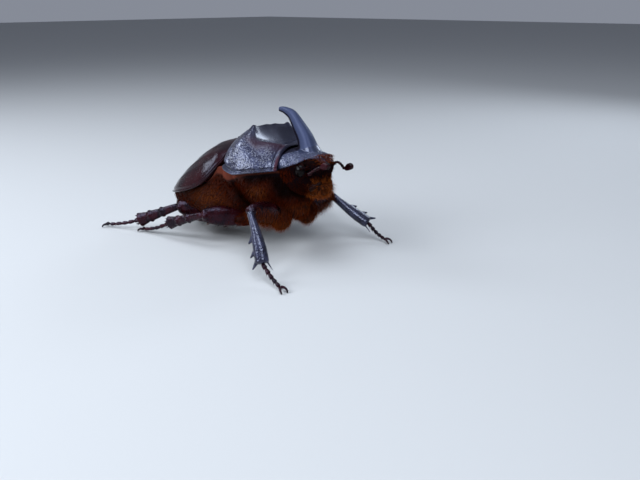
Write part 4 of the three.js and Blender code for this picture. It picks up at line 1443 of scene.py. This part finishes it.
# Each shell finish: its tone where deep and where bright, cloud size, pit spacing, pit depth,
# grain, roughness, and gloss. Sizes are in millimetres, depths and grain relative.
# The blue-grey of the bright tones of shell, crown, horn and shank is painted sky sheen on a near-black
# shell; their cloudy variation is the shell's own.
SHELLS = {
    "shell": ((0.006, 0.004, 0.012), (0.03, 0.033, 0.065), 1.2, 0.22, 0.8, 0.25, 0.28, LACQUER),
    "crown": ((0.015, 0.019, 0.04), (0.034, 0.036, 0.068), 0.8, 0.22, 0.8, 0.25, 0.3, LACQUER),
    "horn": ((0.028, 0.036, 0.072), (0.042, 0.048, 0.09), 1.2, 0.22, 0.6, 0.25, 0.5, LACQUER),
    "shade": ((0.003, 0.002, 0.005), (0.01, 0.009, 0.018), 2.0, 0.2, 0.5, 0.2, 0.45, SHADE),
    "eye": ((0.002, 0.001, 0.001), (0.004, 0.002, 0.002), 2.0, 0.06, 0.2, 0.0, 0.08, plain(0.09)),
    "mouth": ((0.004, 0.001, 0.001), (0.012, 0.002, 0.001), 0.8, 0.2, 0.3, 0.2, 0.3, plain(0.05)),
    "face": ((0.003, 0.001, 0.001), (0.01, 0.002, 0.002), 0.8, 0.2, 0.5, 0.2, 0.5, plain(0.03)),
    "antenna": ((0.006, 0.0005, 0.001), (0.03, 0.004, 0.007), 0.8, 0.2, 0.3, 0.2, 0.2, plain(0.12)),
    "underside": ((0.01, 0.002, 0.001), (0.04, 0.008, 0.004), 1.6, 0.2, 0.7, 0.2, 0.4, plain(0.06)),
    "leg": ((0.005, 0.0005, 0.001), (0.026, 0.003, 0.004), 1.8, 0.4, 0.5, 0.2, 0.24, LIMB),
    "shank": ((0.005, 0.004, 0.01), (0.028, 0.028, 0.055), 1.2, 0.3, 0.7, 0.2, 0.24, LACQUER),
    "elytra": ((0.008, 0.002, 0.003), (0.022, 0.004, 0.005), 3.0, 0.35, 0.5, 0.08, 0.15, SATIN),
}
COLUMNS = ("deep", "bright", "cloud_size", "pit_spacing", "pit_depth", "grain", "roughness", "gloss")
# What some of them have besides.
MORE = {
    "shell": {"thin": rgb(0.05, 0.012, 0.012), "coat": 0.9},
    "crown": {"coat": 0.7},
    "horn": {"coat": 0.05},
    "shank": {"coat": 0.7},
    "eye": {"depth": 0.004, "roughness_spread": 0.02},
    "underside": {"thin": rgb(0.11, 0.026, 0.015)},
}

FINISH = {}
for finish, (deep, bright, *others) in SHELLS.items():
    values = dict(zip(COLUMNS, (rgb(*deep), rgb(*bright), *others)))
    FINISH[finish] = shell_material(finish, **values, **MORE.get(finish, {}))
FINISH["hair"] = hair_material("hair", HAIR_ROOT, HAIR_TIP, HAIR_GOLDEN_AND_LIT)


# ---- assembly


def place_piece(obj, place, slot_name, *nodes):
    settle(obj, place)
    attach(obj, "root")
    if nodes:
        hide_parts(*nodes)


place_piece(pronotum(), TRUNK, "shell", "pronotum")
place_piece(scutellum(), TRUNK, "elytra", "scutellum")
head, horn = head_and_horn()
for coat in face_coats(head):
    place_piece(coat, TRUNK, "hair")
place_piece(head, TRUNK, "shell", "head")
place_piece(horn, TRUNK, "horn", "horn")
mouth = mouthparts()
place_piece(mouth_coat(mouth), TRUNK, "hair")
place_piece(mouth, TRUNK, "mouth", "mouthparts")
place_piece(pygidium(), TRUNK, "underside", "pygidium")
flesh = ["prothorax", "hind_thorax", "abdomen", *[f"coxa_{pair}_{word}" for pair, word in LEGS]]
skin = underside()
for coat in trunk_coats(skin):
    place_piece(coat, TRUNK, "hair")
place_piece(skin, TRUNK, "underside", *flesh)
for word in SIDES:
    place_piece(elytron(word), TRUNK, "elytra", f"elytron_{word}")
    place_piece(eye(word), TRUNK, "eye", f"eye_{word}")
    place_piece(mandible(word), TRUNK, "shell", f"mandible_{word}")
    place_piece(antenna(word), TRUNK, "mouth", f"antenna_{word}")
for pair, word in LEGS:
    shank = fore_tibia(word) if pair == "fore" else rear_tibia(pair, word)
    thigh = femur(pair, word)
    place_piece(femur_coat(thigh, pair, word), FLOOR, "hair")
    place_piece(thigh, FLOOR, "leg", f"femur_{pair}_{word}")
    place_piece(shank, FLOOR, "shank", f"tibia_{pair}_{word}")
    place_piece(tarsus(pair, word), FLOOR, "leg", f"tarsus_{pair}_{word}")
    place_piece(claws(pair, word), FLOOR, "shank", f"claws_{pair}_{word}")


# ---- stage

FLOOR_TONE = rgb(0.56, 0.55, 0.53)
FLOOR_REACH = 1.2  # metres each way

# The camera in the floor's frame: millimetres and degrees.
CAMERA_PLACE = (75.0, -71.4, 37.3)
CAMERA_DOWN = 20.0
CAMERA_YAW = 40.83
CAMERA_LENS = 36.9

# The sky's light, and what the camera and reflections see of it: low and high.
SKY = (rgb(0.06, 0.06, 0.065), rgb(0.18, 0.21, 0.27))
HAZE = (rgb(0.24, 0.26, 0.31), rgb(0.38, 0.43, 0.55))

# Name, place in millimetres, width in millimetres, watts, colour.
LAMPS = [
    ("front", (22, 170, 98), 66, 0.08, (0.76, 0.86, 1.0)),
    ("side", (-60, -190, 125), 150, 0.46, (0.8, 0.88, 1.0)),
    ("fore", (124, -111, 166), 110, 0.24, (0.8, 0.88, 1.0)),
    ("top", (-10, -30, 235), 130, 0.2, (0.78, 0.87, 1.0)),
    ("rear", (-168, -86, 135), 90, 0.17, (0.8, 0.88, 1.0)),
]
LAMP_AIM = (0, 0, 10)


def stage_floor():
    material, n = new_material("floor")
    shader(n, FLOOR_TONE, 0.8, None, 0)
    mesh = bpy.data.meshes.new("floor")
    bm = bmesh.new()
    bmesh.ops.create_grid(bm, x_segments=1, y_segments=1, size=FLOOR_REACH)
    bm.to_mesh(mesh)
    bm.free()
    mesh.materials.append(material)
    new_object("floor", mesh)


def studio_world():
    """Soft light from above, before a paler haze."""
    world = bpy.data.worlds.new("studio")
    bpy.context.scene.world = world
    world.use_nodes = True
    n = Tree(world.node_tree)
    height = n.ramp(n.parts(n.out("ShaderNodeTexCoord", output="Generated"))["Z"], 0.4, 0.8)
    path = n.add("ShaderNodeLightPath").outputs
    seen = n.math("MAXIMUM", path["Is Camera Ray"], path["Is Glossy Ray"])
    sky = n.mix(seen, n.mix(height, *SKY), n.mix(height, *HAZE))
    n.tree.links.new(sky, world.node_tree.nodes["Background"].inputs["Color"])


def lamps():
    for name, spot, size, watts, tint in LAMPS:
        lamp = bpy.data.lights.new(name, "AREA")
        lamp.shape = "DISK"
        lamp.size = size * MM
        lamp.energy = watts
        lamp.color = tint
        holder = new_object(name, lamp)
        holder.location = Vector(spot) * MM
        toward = Vector(LAMP_AIM) * MM - holder.location
        holder.rotation_euler = toward.to_track_quat("-Z", "Y").to_euler()


def camera():
    lens = bpy.data.cameras.new("camera")
    lens.lens = CAMERA_LENS
    lens.clip_start = 0.005
    holder = new_object("camera", lens)
    holder.location = FLOOR @ Vector(CAMERA_PLACE)
    holder.rotation_euler = (math.radians(90 - CAMERA_DOWN), 0.0, math.radians(CAMERA_YAW))
    bpy.context.scene.camera = holder
    bpy.context.scene.view_settings.view_transform = "Standard"


stage_floor()
studio_world()
lamps()
camera()
